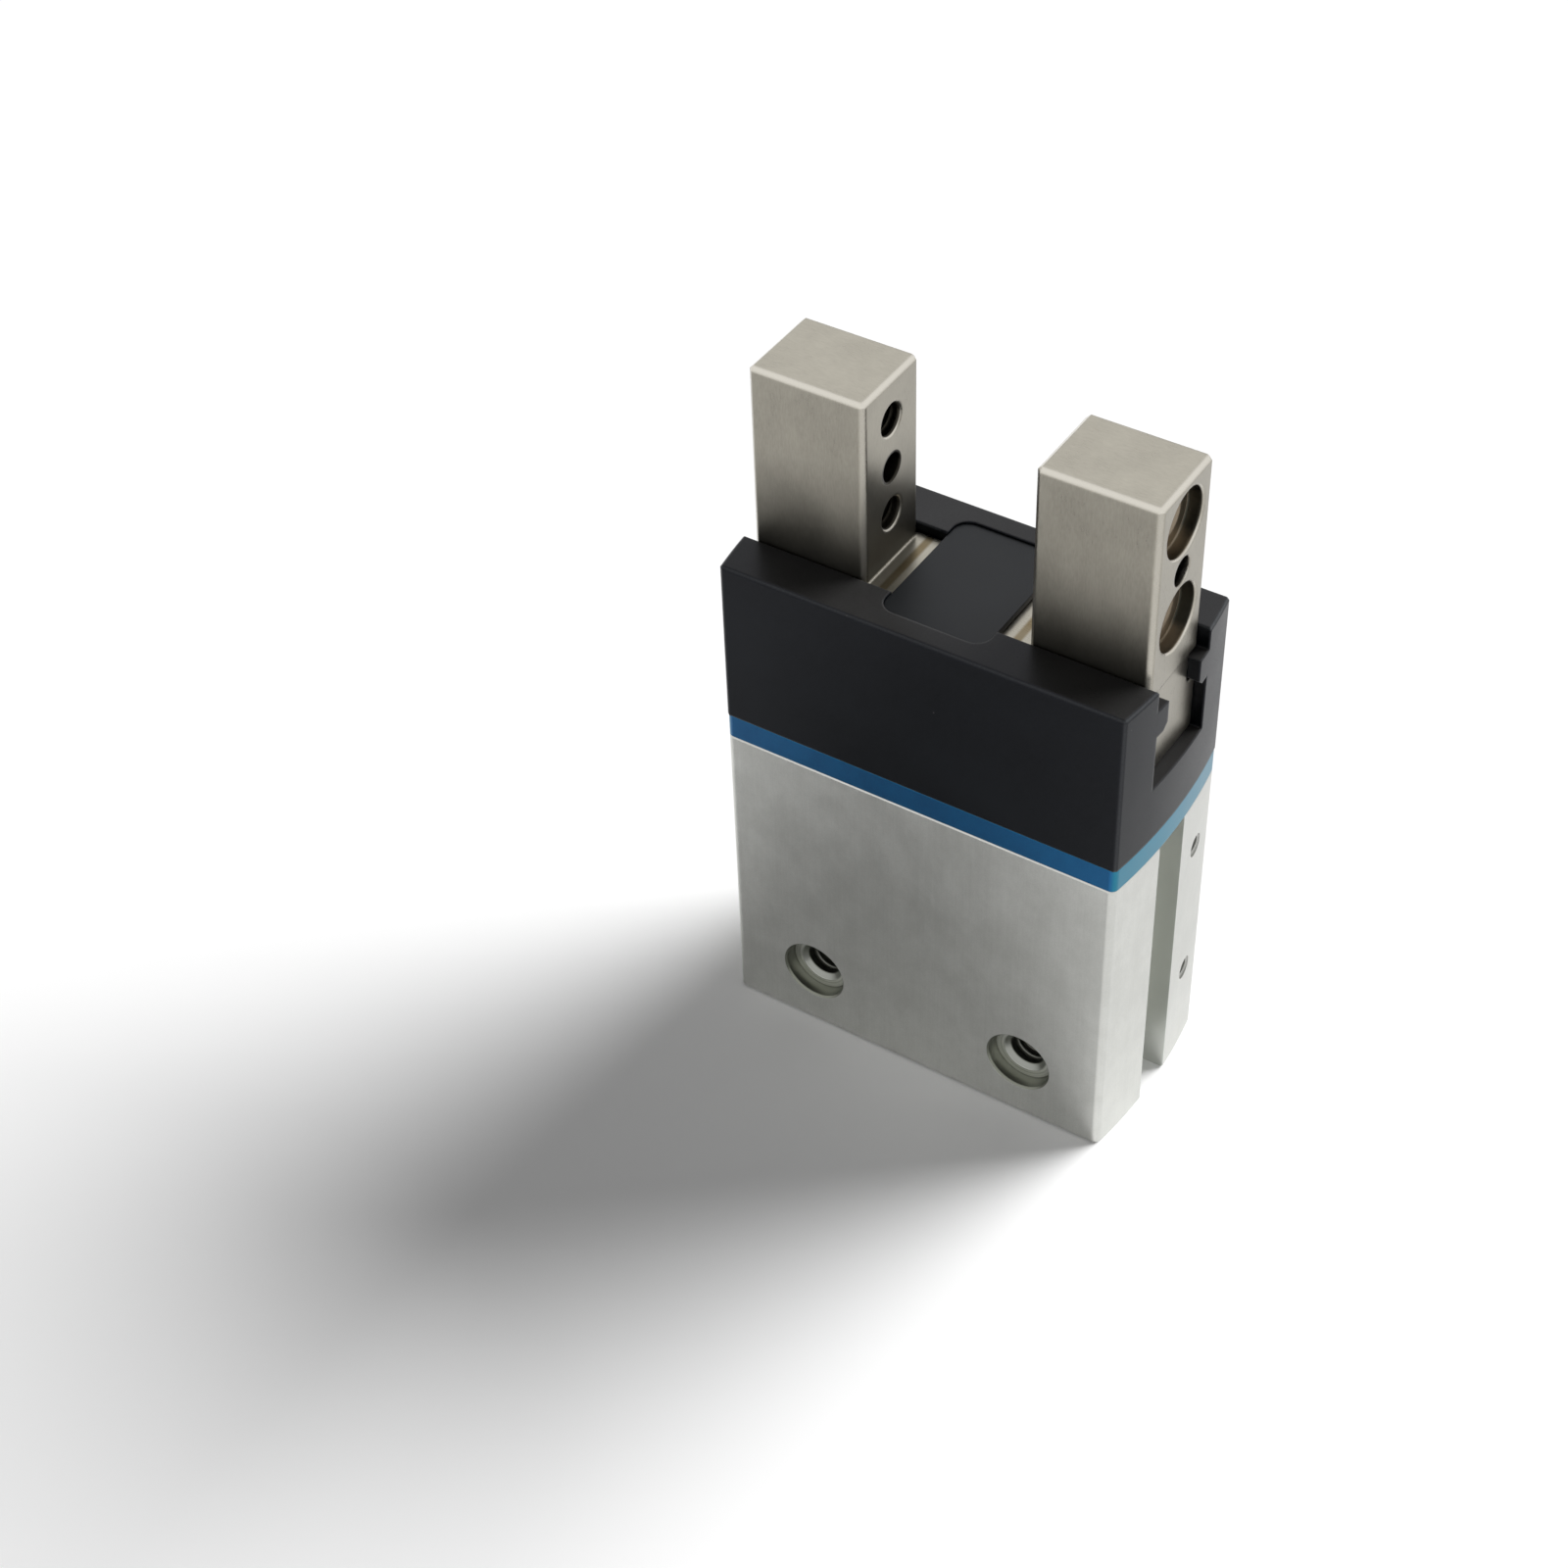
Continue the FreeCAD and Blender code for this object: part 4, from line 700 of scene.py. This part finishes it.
@dataclass(frozen=True, kw_only=True)
class JawSteel(GroundSteel):
    """The jaws' steel: seats on the outer faces in oily patches and painted shade, painted shade in the holes,
    a brown strip on the shoulder and painted shade above it.
    """

    seat_floor: Color
    oil_and_shade: Color
    seat_brown: Color
    hole_shade: Color
    strip_brown: Color
    foot_shade_color: Color
    seat_heights: Span
    seat_radius: float
    seat_depth: float
    outer_face: float
    hole_radius: float
    shoulder_level: float
    strip_span: Span
    foot_shade_rise: float
    foot_shade_weight: float
    foot_shade_rate: Rate = (140.0, 140.0, 90.0)
    foot_shade_stray: float = 5.0 * MM
    foot_span: Span = (0.1 * MM, 0.4 * MM)
    face_span: Span = (0.3 * MM, 0.9 * MM)
    oil_and_shade_rate: Rate = (260.0, 260.0, 260.0)
    wall_split_stray: float = 1.5 * MM
    low_span: Span = (-4.2 * MM, -2.9 * MM)
    seat_fade: Span = (0.0, 0.12 * MM)
    seat_mouth: Span = (0.15 * MM, 0.35 * MM)
    seat_end_fade: Span = (0.2 * MM, 0.8 * MM)
    seat_weight: float = 0.92
    rings_per_metre: float = 5200.0
    ring_span: Span = (0.4, 0.75)
    ring_even: float = 0.3
    ring_patchy: float = 0.6
    floor_span: Span = (0.5, 0.8)
    hole_fade: Span = (0.0, 0.1 * MM)
    hole_mouth: Span = (0.2 * MM, 0.9 * MM)
    hole_shade_weight: float = 0.95
    shoulder_span: Span = (0.15 * MM, 0.3 * MM)
    strip_fade: Span = (0.0, 0.5 * MM)
    strip_even: float = 0.6
    strip_patchy: float = 0.5

    def depth(self, graph: Graph) -> Wire:
        """Distance behind the outer face."""
        return self.outer_face - abs(graph.along(Axis.X))

    def foot_shade(self, graph: Graph) -> Wire:
        """Painted shade at the finger's foot, which also makes it rougher and leaves the outer face clean.

        Args:
            graph: the material's graph.

        Returns:
            A mask from 1 just above the shoulder to 0 further up.
        """
        rise = graph.along(Axis.Z) - self.shoulder_level
        patches = (graph.noise(self.foot_shade_rate, detail=4.0) - NOISE_MIDDLE) * self.foot_shade_stray
        fading = graph.fall(rise + patches, 0.0, self.foot_shade_rise)
        above = graph.ramp(rise, *self.foot_span)
        return fading * above * graph.ramp(self.depth(graph), *self.face_span)

    def seats(self, graph: Graph, oil_and_shade: Wire) -> tuple[Wire, Wire]:
        """The sleeve seats: brown floors turned in rings, and walls darkened by oily patches and painted
        shade, browner on their lower side.

        Args:
            graph: the material's graph.
            oil_and_shade: a patchy noise from 0 to 1, for the oily patches and for where the walls' painted
                shade ends.

        Returns:
            A mask that is 1 inside the seats, and their colour.
        """
        lower, upper = self.seat_heights
        pitch = upper - lower
        up = (graph.along(Axis.Z) - (lower - pitch / 2)) % pitch - pitch / 2
        reach = graph.reach(graph.along(Axis.Y), up)
        depth = self.depth(graph)
        inside = graph.before(reach, self.seat_radius, self.seat_fade)
        behind = graph.ramp(depth, *self.seat_mouth)
        ahead = graph.before(depth, self.seat_depth, self.seat_end_fade)
        # Painted shade on the walls, partly oily, giving way to brown on their lower side.
        low = graph.fall(up + (oil_and_shade - NOISE_MIDDLE) * self.wall_split_stray, *self.low_span)
        wall = graph.blend(low, self.oil_and_shade, self.seat_brown)
        rings = graph.ramp(graph.rings(reach, self.rings_per_metre), *self.ring_span)
        floor = graph.blend(rings * (self.ring_even + oil_and_shade * self.ring_patchy), self.seat_floor, self.seat_brown)
        flat = graph.ramp(graph.facing(Axis.X), *self.floor_span)
        return inside * behind * ahead, graph.blend(flat, wall, floor)

    def holes(self, graph: Graph) -> Wire:
        """Finds the walls of the threaded holes and of the plain hole between them.

        Args:
            graph: the material's graph.

        Returns:
            A mask that is 1 on those walls.
        """
        lower, upper = self.seat_heights
        walls = []
        for height in (lower, (lower + upper) / 2, upper):
            reach = graph.reach(graph.along(Axis.Y), graph.along(Axis.Z) - height)
            walls.append(graph.before(reach, self.hole_radius, self.hole_fade))
        return sum(walls) * graph.ramp(self.depth(graph), *self.hole_mouth)

    def shoulder_strip(self, graph: Graph) -> Wire:
        """Finds a brown strip on top of the shoulder.

        Args:
            graph: the material's graph.

        Returns:
            A mask that is 1 along the strip.
        """
        near, far = self.strip_span
        out = abs(graph.along(Axis.X))
        level = graph.fall(abs(graph.along(Axis.Z) - self.shoulder_level), *self.shoulder_span)
        return level * graph.past(out, near, self.strip_fade) * graph.before(out, far, self.strip_fade)

    def soil(self, graph: Graph, clean: Wire, wear_and_highlight: Wire) -> tuple[Wire, Wire]:
        """Colour and edges with the seats' oily patches and painted shade, painted shade in the holes, a brown
        strip on the shoulder and painted shade above it.

        Args:
            graph: the material's graph.
            clean: the colour of clean steel, with level faces painted paler.
            wear_and_highlight: where the edges show wear and a painted highlight.

        Returns:
            The colour with its marks and painted shade, and the wear and painted highlight left outside them.
        """
        oil_and_shade = graph.noise(self.oil_and_shade_rate, detail=3.0)
        seat, oily = self.seats(graph, oil_and_shade)
        hole = self.holes(graph)
        # Painted shade at the finger's foot, above the shoulder.
        foot_shaded = graph.blend(self.foot_shade(graph) * self.foot_shade_weight, clean, self.foot_shade_color)
        seated = graph.blend(seat * self.seat_weight, foot_shaded, oily)
        strip_mask = self.shoulder_strip(graph) * (self.strip_even + oil_and_shade * self.strip_patchy)
        with_strip = graph.blend(strip_mask, seated, self.strip_brown)
        # Painted shade in the holes.
        return graph.blend(hole * self.hole_shade_weight, with_strip, self.hole_shade), wear_and_highlight * (1 - seat) * (1 - hole)


@dataclass(frozen=True, kw_only=True)
class PlainTurned(Finish):
    """A turned or moulded inner piece: rings round its axis, a fine grain and slightly paler edges, partly
    wear and partly a painted highlight.
    """

    shade: Color
    tint: Color
    roughness: float
    metallic: float
    rings: float
    edge_radius: float = 0.12 * MM
    ring_rate: Rate = (300.0, 300.0, 6000.0)
    grain_rate: Rate = (3000.0, 3000.0, 3000.0)
    tone_span: Span = (0.3, 0.7)
    wear_highlight_weight: float = 0.4
    gloss_swing: float = 0.18
    bump_strength: float = 0.12
    bump_height: float = 0.02 * MM

    def paint(self, graph: Graph) -> None:
        """Lays turning rings, grain, and edge wear with a painted highlight.

        Args:
            graph: the material's graph.
        """
        turned = graph.noise(self.ring_rate)
        grain = graph.noise(self.grain_rate, detail=3.0)
        relief = turned * self.rings + grain * (1 - self.rings)
        # Paler edges: partly wear, partly a painted highlight.
        wear_and_highlight = graph.edges(self.edge_radius) * self.wear_highlight_weight
        tone = graph.ramp(relief, *self.tone_span) * (1 - wear_and_highlight) + wear_and_highlight
        graph.surface({
            "Base Color": graph.blend(tone, self.shade, self.tint),
            "Roughness": self.roughness + (relief - NOISE_MIDDLE) * self.gloss_swing,
            "Metallic": self.metallic,
            "Normal": graph.bump(relief, self.bump_strength, self.bump_height, self.edge_radius),
        })


BLUE = DyedAnodised(
    "blue_anodised_aluminium",
    shade=(0.0006, 0.085, 0.23, 1.0), tint=(0.0012, 0.125, 0.31, 1.0),
    # The ends' colours are the lit copy of the sides' colours: painted light.
    lit_end_shade=(0.006, 0.165, 0.26, 1.0), lit_end_tint=(0.014, 0.215, 0.325, 1.0),
    edge=(0.02, 0.24, 0.41, 1.0), hollow_shade=(0.0, 0.03, 0.07, 1.0), roughness=0.34, metallic=0.98, coat=0.35,
)
PLATE = BlackAnodised(
    "black_coated_plate",
    dark=grey(0.002, -0.15), light=grey(0.0085, -0.12), edge=grey(0.014, -0.04), dust=grey(0.16, 0.05),
    gloss_tint=(0.9, 0.93, 1.0, 1.0), roughness=0.4, specular=0.32,
)
HARDENED = GroundSteel(
    "hardened_steel", shade=grey(0.30, 0.01), tint=grey(0.42, 0.01), edge=grey(0.6, 0.01), roughness=0.32,
)
BLACKENED = PlainTurned(
    "dark_screw_steel", shade=grey(0.035), tint=grey(0.07), roughness=0.42, metallic=0.8, rings=0.3,
)
TURNED = PlainTurned(
    "turned_aluminium", shade=grey(0.62), tint=grey(0.76), roughness=0.32, metallic=1.0, rings=0.7,
)
RUBBER = PlainTurned(
    "seal_rubber", shade=grey(0.012), tint=grey(0.022), roughness=0.62, metallic=0.0, rings=0.15,
)
PLASTIC = PlainTurned(
    "guide_plastic", shade=(0.19, 0.12, 0.06, 1.0), tint=(0.26, 0.17, 0.09, 1.0),
    roughness=0.5, metallic=0.0, rings=0.4,
)
MAGNET = PlainTurned(
    "magnet", shade=grey(0.045), tint=grey(0.075), roughness=0.55, metallic=0.4, rings=0.2,
)
BRONZE = PlainTurned(
    "bush_bronze", shade=(0.42, 0.25, 0.09, 1.0), tint=(0.55, 0.35, 0.14, 1.0),
    roughness=0.36, metallic=1.0, rings=0.6,
)


def stated_mount(name: str) -> dict:
    """A mount as the record states it."""
    return next(mount for mount in frame["record"]["mounts"] if mount["name"] == name)


def dress_nodes(finishes: dict[str, Finish]) -> None:
    """Puts each finish on its CAD node.

    Args:
        finishes: finish by the node's name.
    """
    for node, finish in finishes.items():
        finish.dress(frame["nodes"][node])
        LOG.info("dressed %s in %s", node, finish.name)


@dataclass(kw_only=True)
class ThreadRow:
    """The threads of one bolt pattern: a closed helical ridge in each of its two holes.

    slot names the record's material for them, and is not used. start and length run along the holes, inwards
    from the pattern's own place. The shares are parts of the pitch. bite is how deep the ridge stands in the
    wall, and least_height is what is left of the ridge where it runs out.
    """

    mount: str
    body: str
    slot: str
    finish: Finish
    pitch: float
    start: float
    length: float
    height_share: float = 0.42
    root_share: float = 0.88
    crest_share: float = 0.18
    bite: float = 0.03 * MM
    least_height: float = 0.05
    steps_per_turn: int = 28

    def holes(self) -> list[Vector]:
        """Finds the two holes.

        Returns:
            Their places at the pattern's own level.
        """
        mount = stated_mount(self.mount)
        dims = mount["dims"]
        along = max(Axis, key=lambda axis: abs(mount["axis"][axis.value]))
        across = [Vector(Matrix.Identity(3)[axis.value]) for axis in Axis if axis is not along]
        offset = across[0] * dims.get("spacing_x_mm", 0.0) + across[1] * dims.get("spacing_y_mm", 0.0)
        centre = Vector(mount["pos_m"])
        return [centre + offset * (side * MM / 2) for side in (-1, 1)]

    def ridge(self) -> bmesh.types.BMesh:
        """Builds one helical ridge about Z, from the origin upwards, closed at both ends.

        Returns:
            The mesh of the ridge.
        """
        radius = stated_mount(self.mount)["dims"]["hole_r_mm"] * MM
        root = radius + self.bite
        crest = radius - self.pitch * self.height_share
        half_root = self.pitch * self.root_share / 2
        half_crest = self.pitch * self.crest_share / 2
        section = [(root, -half_root), (crest, -half_crest), (crest, half_crest), (root, half_root)]
        turns = (self.length - 2 * half_root) / self.pitch
        steps = round(turns * self.steps_per_turn)
        mesh = bmesh.new()
        rings = []
        for step in range(steps + 1):
            angle = 2 * math.pi * step / self.steps_per_turn
            rise = half_root + self.pitch * step / self.steps_per_turn
            fade = min(1.0, step / self.steps_per_turn, (steps - step) / self.steps_per_turn)
            height = self.least_height + (1 - self.least_height) * fade
            ring = []
            for reach, shift in section:
                out = root + (reach - root) * height
                ring.append(mesh.verts.new((out * math.cos(angle), out * math.sin(angle), rise + shift)))
            rings.append(ring)
        for lower, upper in zip(rings, rings[1:]):
            for number in range(len(section)):
                following = (number + 1) % len(section)
                mesh.faces.new((lower[number], lower[following], upper[following], upper[number]))
        mesh.faces.new(list(reversed(rings[0])))
        mesh.faces.new(rings[-1])
        bmesh.ops.recalc_face_normals(mesh, faces=mesh.faces)
        return mesh

    def build(self) -> bpy.types.Object:
        """Builds both threads as one piece that rides on its body.

        Returns:
            The piece.
        """
        inwards = -Vector(stated_mount(self.mount)["axis"])
        turn = inwards.to_track_quat("Z", "Y").to_matrix().to_4x4()
        whole = bmesh.new()
        for hole in self.holes():
            ridge = self.ridge()
            ridge.transform(Matrix.Translation(hole + inwards * self.start) @ turn)
            part = bpy.data.meshes.new("thread_part")
            ridge.to_mesh(part)
            ridge.free()
            whole.from_mesh(part)
            bpy.data.meshes.remove(part)
        data = bpy.data.meshes.new(f"{self.mount}_helix")
        whole.to_mesh(data)
        whole.free()
        for polygon in data.polygons:
            polygon.use_smooth = True
        piece = bpy.data.objects.new(f"{self.mount}_helix", data)
        bpy.context.scene.collection.objects.link(piece)
        self.finish.dress(piece)
        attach(piece, self.body)
        return piece


@dataclass
class Housing:
    """The body, the plate above it, the cover, and what closes the base."""

    side_thread_pitch: float = 1.0 * MM
    side_thread_start: float = 0.1 * MM
    side_thread_length: float = 21.2 * MM
    base_thread_pitch: float = 0.8 * MM
    base_thread_start: float = 0.3 * MM
    base_thread_length: float = 4.8 * MM
    port_thread_pitch: float = 0.5 * MM
    port_thread_start: float = 0.1 * MM
    port_thread_length: float = 4.8 * MM
    sleeve_radius: float = 4.5 * MM
    thread_break: float = 0.7 * MM
    groove_half: float = 3.4 * MM
    groove_depth: float = 5.1 * MM
    pocket_margin: float = 1.0 * MM
    cover_edge_radius: float = 0.45 * MM

    def body_finish(self) -> BodyAnodised:
        """The body's finish, with uncoated metal and painted shade where the record has the side threads.

        Returns:
            The finish.
        """
        mount = stated_mount("front_threads")
        bore_radius = mount["dims"]["hole_r_mm"] * MM
        return BodyAnodised(
            "clear_anodised_aluminium",
            shade=(0.535, 0.54, 0.512, 1.0), tint=(0.7, 0.705, 0.675, 1.0), edge=grey(0.8, 0.01),
            hollow_shade=(0.3, 0.306, 0.28, 1.0), roughness=0.34, metallic=0.95, drawn=0.6,
            hole_out=mount["dims"]["spacing_x_mm"] * MM / 2, hole_up=mount["pos_m"][Axis.Z.value],
            seat_radius=self.sleeve_radius, cone_radius=bore_radius + self.thread_break,
            bore_radius=bore_radius,
            # The seat wall, countersink and bore colours are painted shade; the groove colour is painted
            # light.
            turned=(0.78, 0.79, 0.74, 1.0), seat_wall_shade=(0.205, 0.212, 0.178, 1.0),
            cone_shade=(0.32, 0.328, 0.3, 1.0), bore_shade=(0.14, 0.142, 0.125, 1.0),
            groove_half=self.groove_half, groove_floor=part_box("cylinder_body")[1].x - self.groove_depth,
            groove_lit_tint=(0.688, 0.702, 0.665, 1.0),
        )

    def cover_finish(self) -> BlackAnodised:
        """The cover's finish, whose edges keep their black round the centre plate.

        Returns:
            The finish.
        """
        plate_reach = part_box("centre_plate")[1]
        return BlackAnodised(
            "black_anodised_aluminium",
            # The edge colour is partly wear and partly a painted highlight.
            dark=grey(0.001, -0.3), light=grey(0.0045, -0.25), edge=grey(0.062, -0.04), dust=grey(0.16, 0.05),
            gloss_tint=(0.8, 0.84, 1.0, 1.0), roughness=0.34, specular=0.19, settled=0.125,
            edge_radius=self.cover_edge_radius,
            sheltered=(plate_reach.x + self.pocket_margin, plate_reach.y + self.pocket_margin),
        )

    def dress(self) -> None:
        """Puts the finishes on the housing's nodes."""
        dress_nodes({
            "cylinder_body": self.body_finish(), "intermediate_plate": BLUE,
            "guide_cover": self.cover_finish(), "centre_plate": PLATE,
            "end_cap": TURNED, "retaining_ring": BLACKENED, "assembly_screws": BLACKENED,
            "end_cap_seal": RUBBER, "plate_seal": RUBBER, "rod_seal": RUBBER,
            "upper_bumper": RUBBER, "lower_bumper": RUBBER,
            "rod_bush": BRONZE, "locating_pins": HARDENED, "lever_pivot_pins": HARDENED,
        })

    def build(self) -> list[bpy.types.Object]:
        """Builds the threads of the side holes, base holes and ports.

        Returns:
            The new pieces.
        """
        sizes = {
            "front_threads": (self.side_thread_pitch, self.side_thread_start, self.side_thread_length),
            "base_threads": (self.base_thread_pitch, self.base_thread_start, self.base_thread_length),
            "supply_ports": (self.port_thread_pitch, self.port_thread_start, self.port_thread_length),
        }
        finish = self.body_finish()
        return [
            ThreadRow(
                mount=mount, body="housing", slot=finish.name, finish=finish,
                pitch=pitch, start=start, length=length,
            ).build()
            for mount, (pitch, start, length) in sizes.items()
        ]


@dataclass
class JawPair:
    """Both jaws: ground steel with sleeve seats in oily patches and painted shade, and threads in their holes.
    """

    thread_pitch: float = 0.8 * MM
    thread_start: float = 0.55 * MM
    thread_length: float = 13.2 * MM
    seat_radius: float = 4.75 * MM
    seat_depth: float = 2.1 * MM
    hole_radius: float = 2.2 * MM
    shoulder_drop: float = 0.2 * MM
    strip_span: Span = (8.7 * MM, 9.8 * MM)
    # The painted shade above the shoulder: how far up it fades, and how strong it is.
    foot_shade_rise: float = 19.0 * MM
    foot_shade_weight: float = 0.93
    edge_radius: float = 0.5 * MM

    def finish(self) -> JawSteel:
        """The jaws' finish, with its seats in oily patches and painted shade where the record has the jaw's
        threads.

        Returns:
            The finish.
        """
        mount = stated_mount("right_jaw_threads")
        middle = mount["pos_m"][Axis.Z.value]
        half_pitch = mount["dims"]["spacing_y_mm"] * MM / 2
        outer_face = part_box("right_jaw")[1].x
        return JawSteel(
            "ground_steel",
            # The edge colour is partly a painted highlight; the seat walls' dark colour is painted shade with
            # oily patches; the hole and foot colours are painted shade.
            shade=(0.285, 0.268, 0.228, 1.0), tint=(0.495, 0.468, 0.4, 1.0), edge=(0.71, 0.68, 0.61, 1.0),
            roughness=0.3, edge_radius=self.edge_radius,
            seat_floor=(0.29, 0.23, 0.165, 1.0), oil_and_shade=(0.055, 0.055, 0.044, 1.0),
            seat_brown=(0.24, 0.198, 0.142, 1.0),
            hole_shade=(0.03, 0.027, 0.021, 1.0), strip_brown=(0.19, 0.145, 0.075, 1.0),
            foot_shade_color=(0.045, 0.0435, 0.037, 1.0), foot_shade_rise=self.foot_shade_rise, foot_shade_weight=self.foot_shade_weight,
            seat_heights=(middle - half_pitch, middle + half_pitch), seat_radius=self.seat_radius,
            seat_depth=self.seat_depth, hole_radius=self.hole_radius, outer_face=outer_face,
            shoulder_level=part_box("centre_plate")[0].z - self.shoulder_drop, strip_span=self.strip_span,
        )

    def dress(self) -> None:
        """Puts the finish on both jaws."""
        dress_nodes(dict.fromkeys(("right_jaw", "left_jaw"), self.finish()))

    def build(self) -> list[bpy.types.Object]:
        """Builds the threads of both jaws.

        Returns:
            The new pieces.
        """
        finish = self.finish()
        return [
            ThreadRow(
                mount=f"{side}_threads", body=side, slot=finish.name, finish=finish,
                pitch=self.thread_pitch, start=self.thread_start, length=self.thread_length,
            ).build()
            for side in ("right_jaw", "left_jaw")
        ]


@dataclass
class Drive:
    """The moving pieces inside: piston, rod, crosshead and levers."""

    def dress(self) -> None:
        """Puts the finishes on the drive's nodes."""
        dress_nodes({
            "right_lever": HARDENED, "left_lever": HARDENED, "crosshead": HARDENED, "piston_rod": HARDENED,
            "crosshead_screw": BLACKENED, "piston_screw": BLACKENED, "piston": TURNED, "piston_seals": RUBBER,
            "piston_guide_ring": PLASTIC, "piston_magnet": MAGNET,
        })


@dataclass
class Studio:
    """A pale floor, soft light from behind on the right, and the camera."""

    floor_size: float = 12.0
    floor_white: float = 0.93
    sky_level: float = 0.25
    sun_level: float = 0.85
    sun_side: tuple[float, float] = (0.47, 0.883)
    sun_elevation: float = math.radians(31)
    sun_spread: float = math.radians(40)
    camera_place: tuple[float, float, float] = (138.0 * MM, -245.5 * MM, 302.5 * MM)
    camera_right: tuple[float, float, float] = (0.8405, 0.5412, -0.0273)
    camera_down: tuple[float, float, float] = (0.3512, -0.5825, -0.7331)
    camera_into: tuple[float, float, float] = (-0.4126, 0.6065, -0.6796)
    camera_clip: Span = (10.0 * MM, 100.0)
    lens: float = 67.46
    sensor: float = 36.0

    def build(self) -> None:
        """Builds the whole studio."""
        self.build_floor()
        self.build_world()
        self.build_sun()
        self.build_camera()
        bpy.context.scene.view_settings.view_transform = "Standard"

    def build_floor(self) -> None:
        """Builds the floor, a plain sheet of white paper."""
        data = bpy.data.meshes.new("floor")
        half = self.floor_size / 2
        corners = [(-half, -half, 0.0), (half, -half, 0.0), (half, half, 0.0), (-half, half, 0.0)]
        data.from_pydata(corners, [], [(0, 1, 2, 3)])
        floor = bpy.data.objects.new("floor", data)
        bpy.context.scene.collection.objects.link(floor)
        material = bpy.data.materials.new("floor_paper")
        material.use_nodes = True
        graph = Graph(material.node_tree)
        paper = graph.node("ShaderNodeBsdfDiffuse", inputs={"Color": grey(self.floor_white)})
        graph.node("ShaderNodeOutputMaterial", inputs={"Surface": paper})
        data.materials.append(material)

    def build_world(self) -> None:
        """Builds the sky: white where it is seen or mirrored, and softer where it lights."""
        world = bpy.data.worlds.new("studio")
        world.use_nodes = True
        bpy.context.scene.world = world
        graph = Graph(world.node_tree)
        rays = ("Is Camera Ray", "Is Glossy Ray", "Is Transmission Ray")
        camera, mirrored, passed = (graph.node("ShaderNodeLightPath", output=ray) for ray in rays)
        seen = graph.node("ShaderNodeMath", {"operation": "MINIMUM"}, {0: camera + mirrored + passed, 1: 1.0})
        level = seen * (1.0 - self.sky_level) + self.sky_level
        sky = graph.node("ShaderNodeBackground", inputs={"Color": grey(1.0), "Strength": level})
        graph.node("ShaderNodeOutputWorld", inputs={"Surface": sky})

    def build_sun(self) -> None:
        """Builds the soft key light, as strong as sun_level on the floor and unseen in the metal's gloss."""
        data = bpy.data.lights.new("key_light", "SUN")
        data.angle = self.sun_spread
        data.energy = math.pi * self.sun_level / math.sin(self.sun_elevation)
        lamp = bpy.data.objects.new("key_light", data)
        side = Vector((*self.sun_side, 0.0)).normalized()
        towards = side * math.cos(self.sun_elevation) + Vector((0, 0, math.sin(self.sun_elevation)))
        lamp.rotation_mode = "QUATERNION"
        lamp.rotation_quaternion = towards.to_track_quat("Z", "Y")
        lamp.visible_glossy = False
        bpy.context.scene.collection.objects.link(lamp)

    def build_camera(self) -> None:
        """Builds the camera at the photograph's place."""
        data = bpy.data.cameras.new("camera")
        data.lens = self.lens
        data.sensor_width = self.sensor
        data.clip_start, data.clip_end = self.camera_clip
        camera = bpy.data.objects.new("camera", data)
        columns = (Vector(self.camera_right), -Vector(self.camera_down), -Vector(self.camera_into))
        turn = Matrix(columns).transposed().to_4x4()
        camera.matrix_world = Matrix.Translation(self.camera_place) @ turn
        bpy.context.scene.collection.objects.link(camera)
        bpy.context.scene.camera = camera


def main() -> None:
    """Builds and dresses the gripper piece by piece, then the studio round it."""
    logging.basicConfig(level=logging.INFO, format="%(name)s: %(message)s")
    housing, jaws, drive = Housing(), JawPair(), Drive()
    for assembly in (housing, jaws, drive):
        assembly.dress()
    for piece in housing.build() + jaws.build():
        LOG.info("built %s", piece.name)
    Studio().build()


if __name__ == "__main__":
    main()
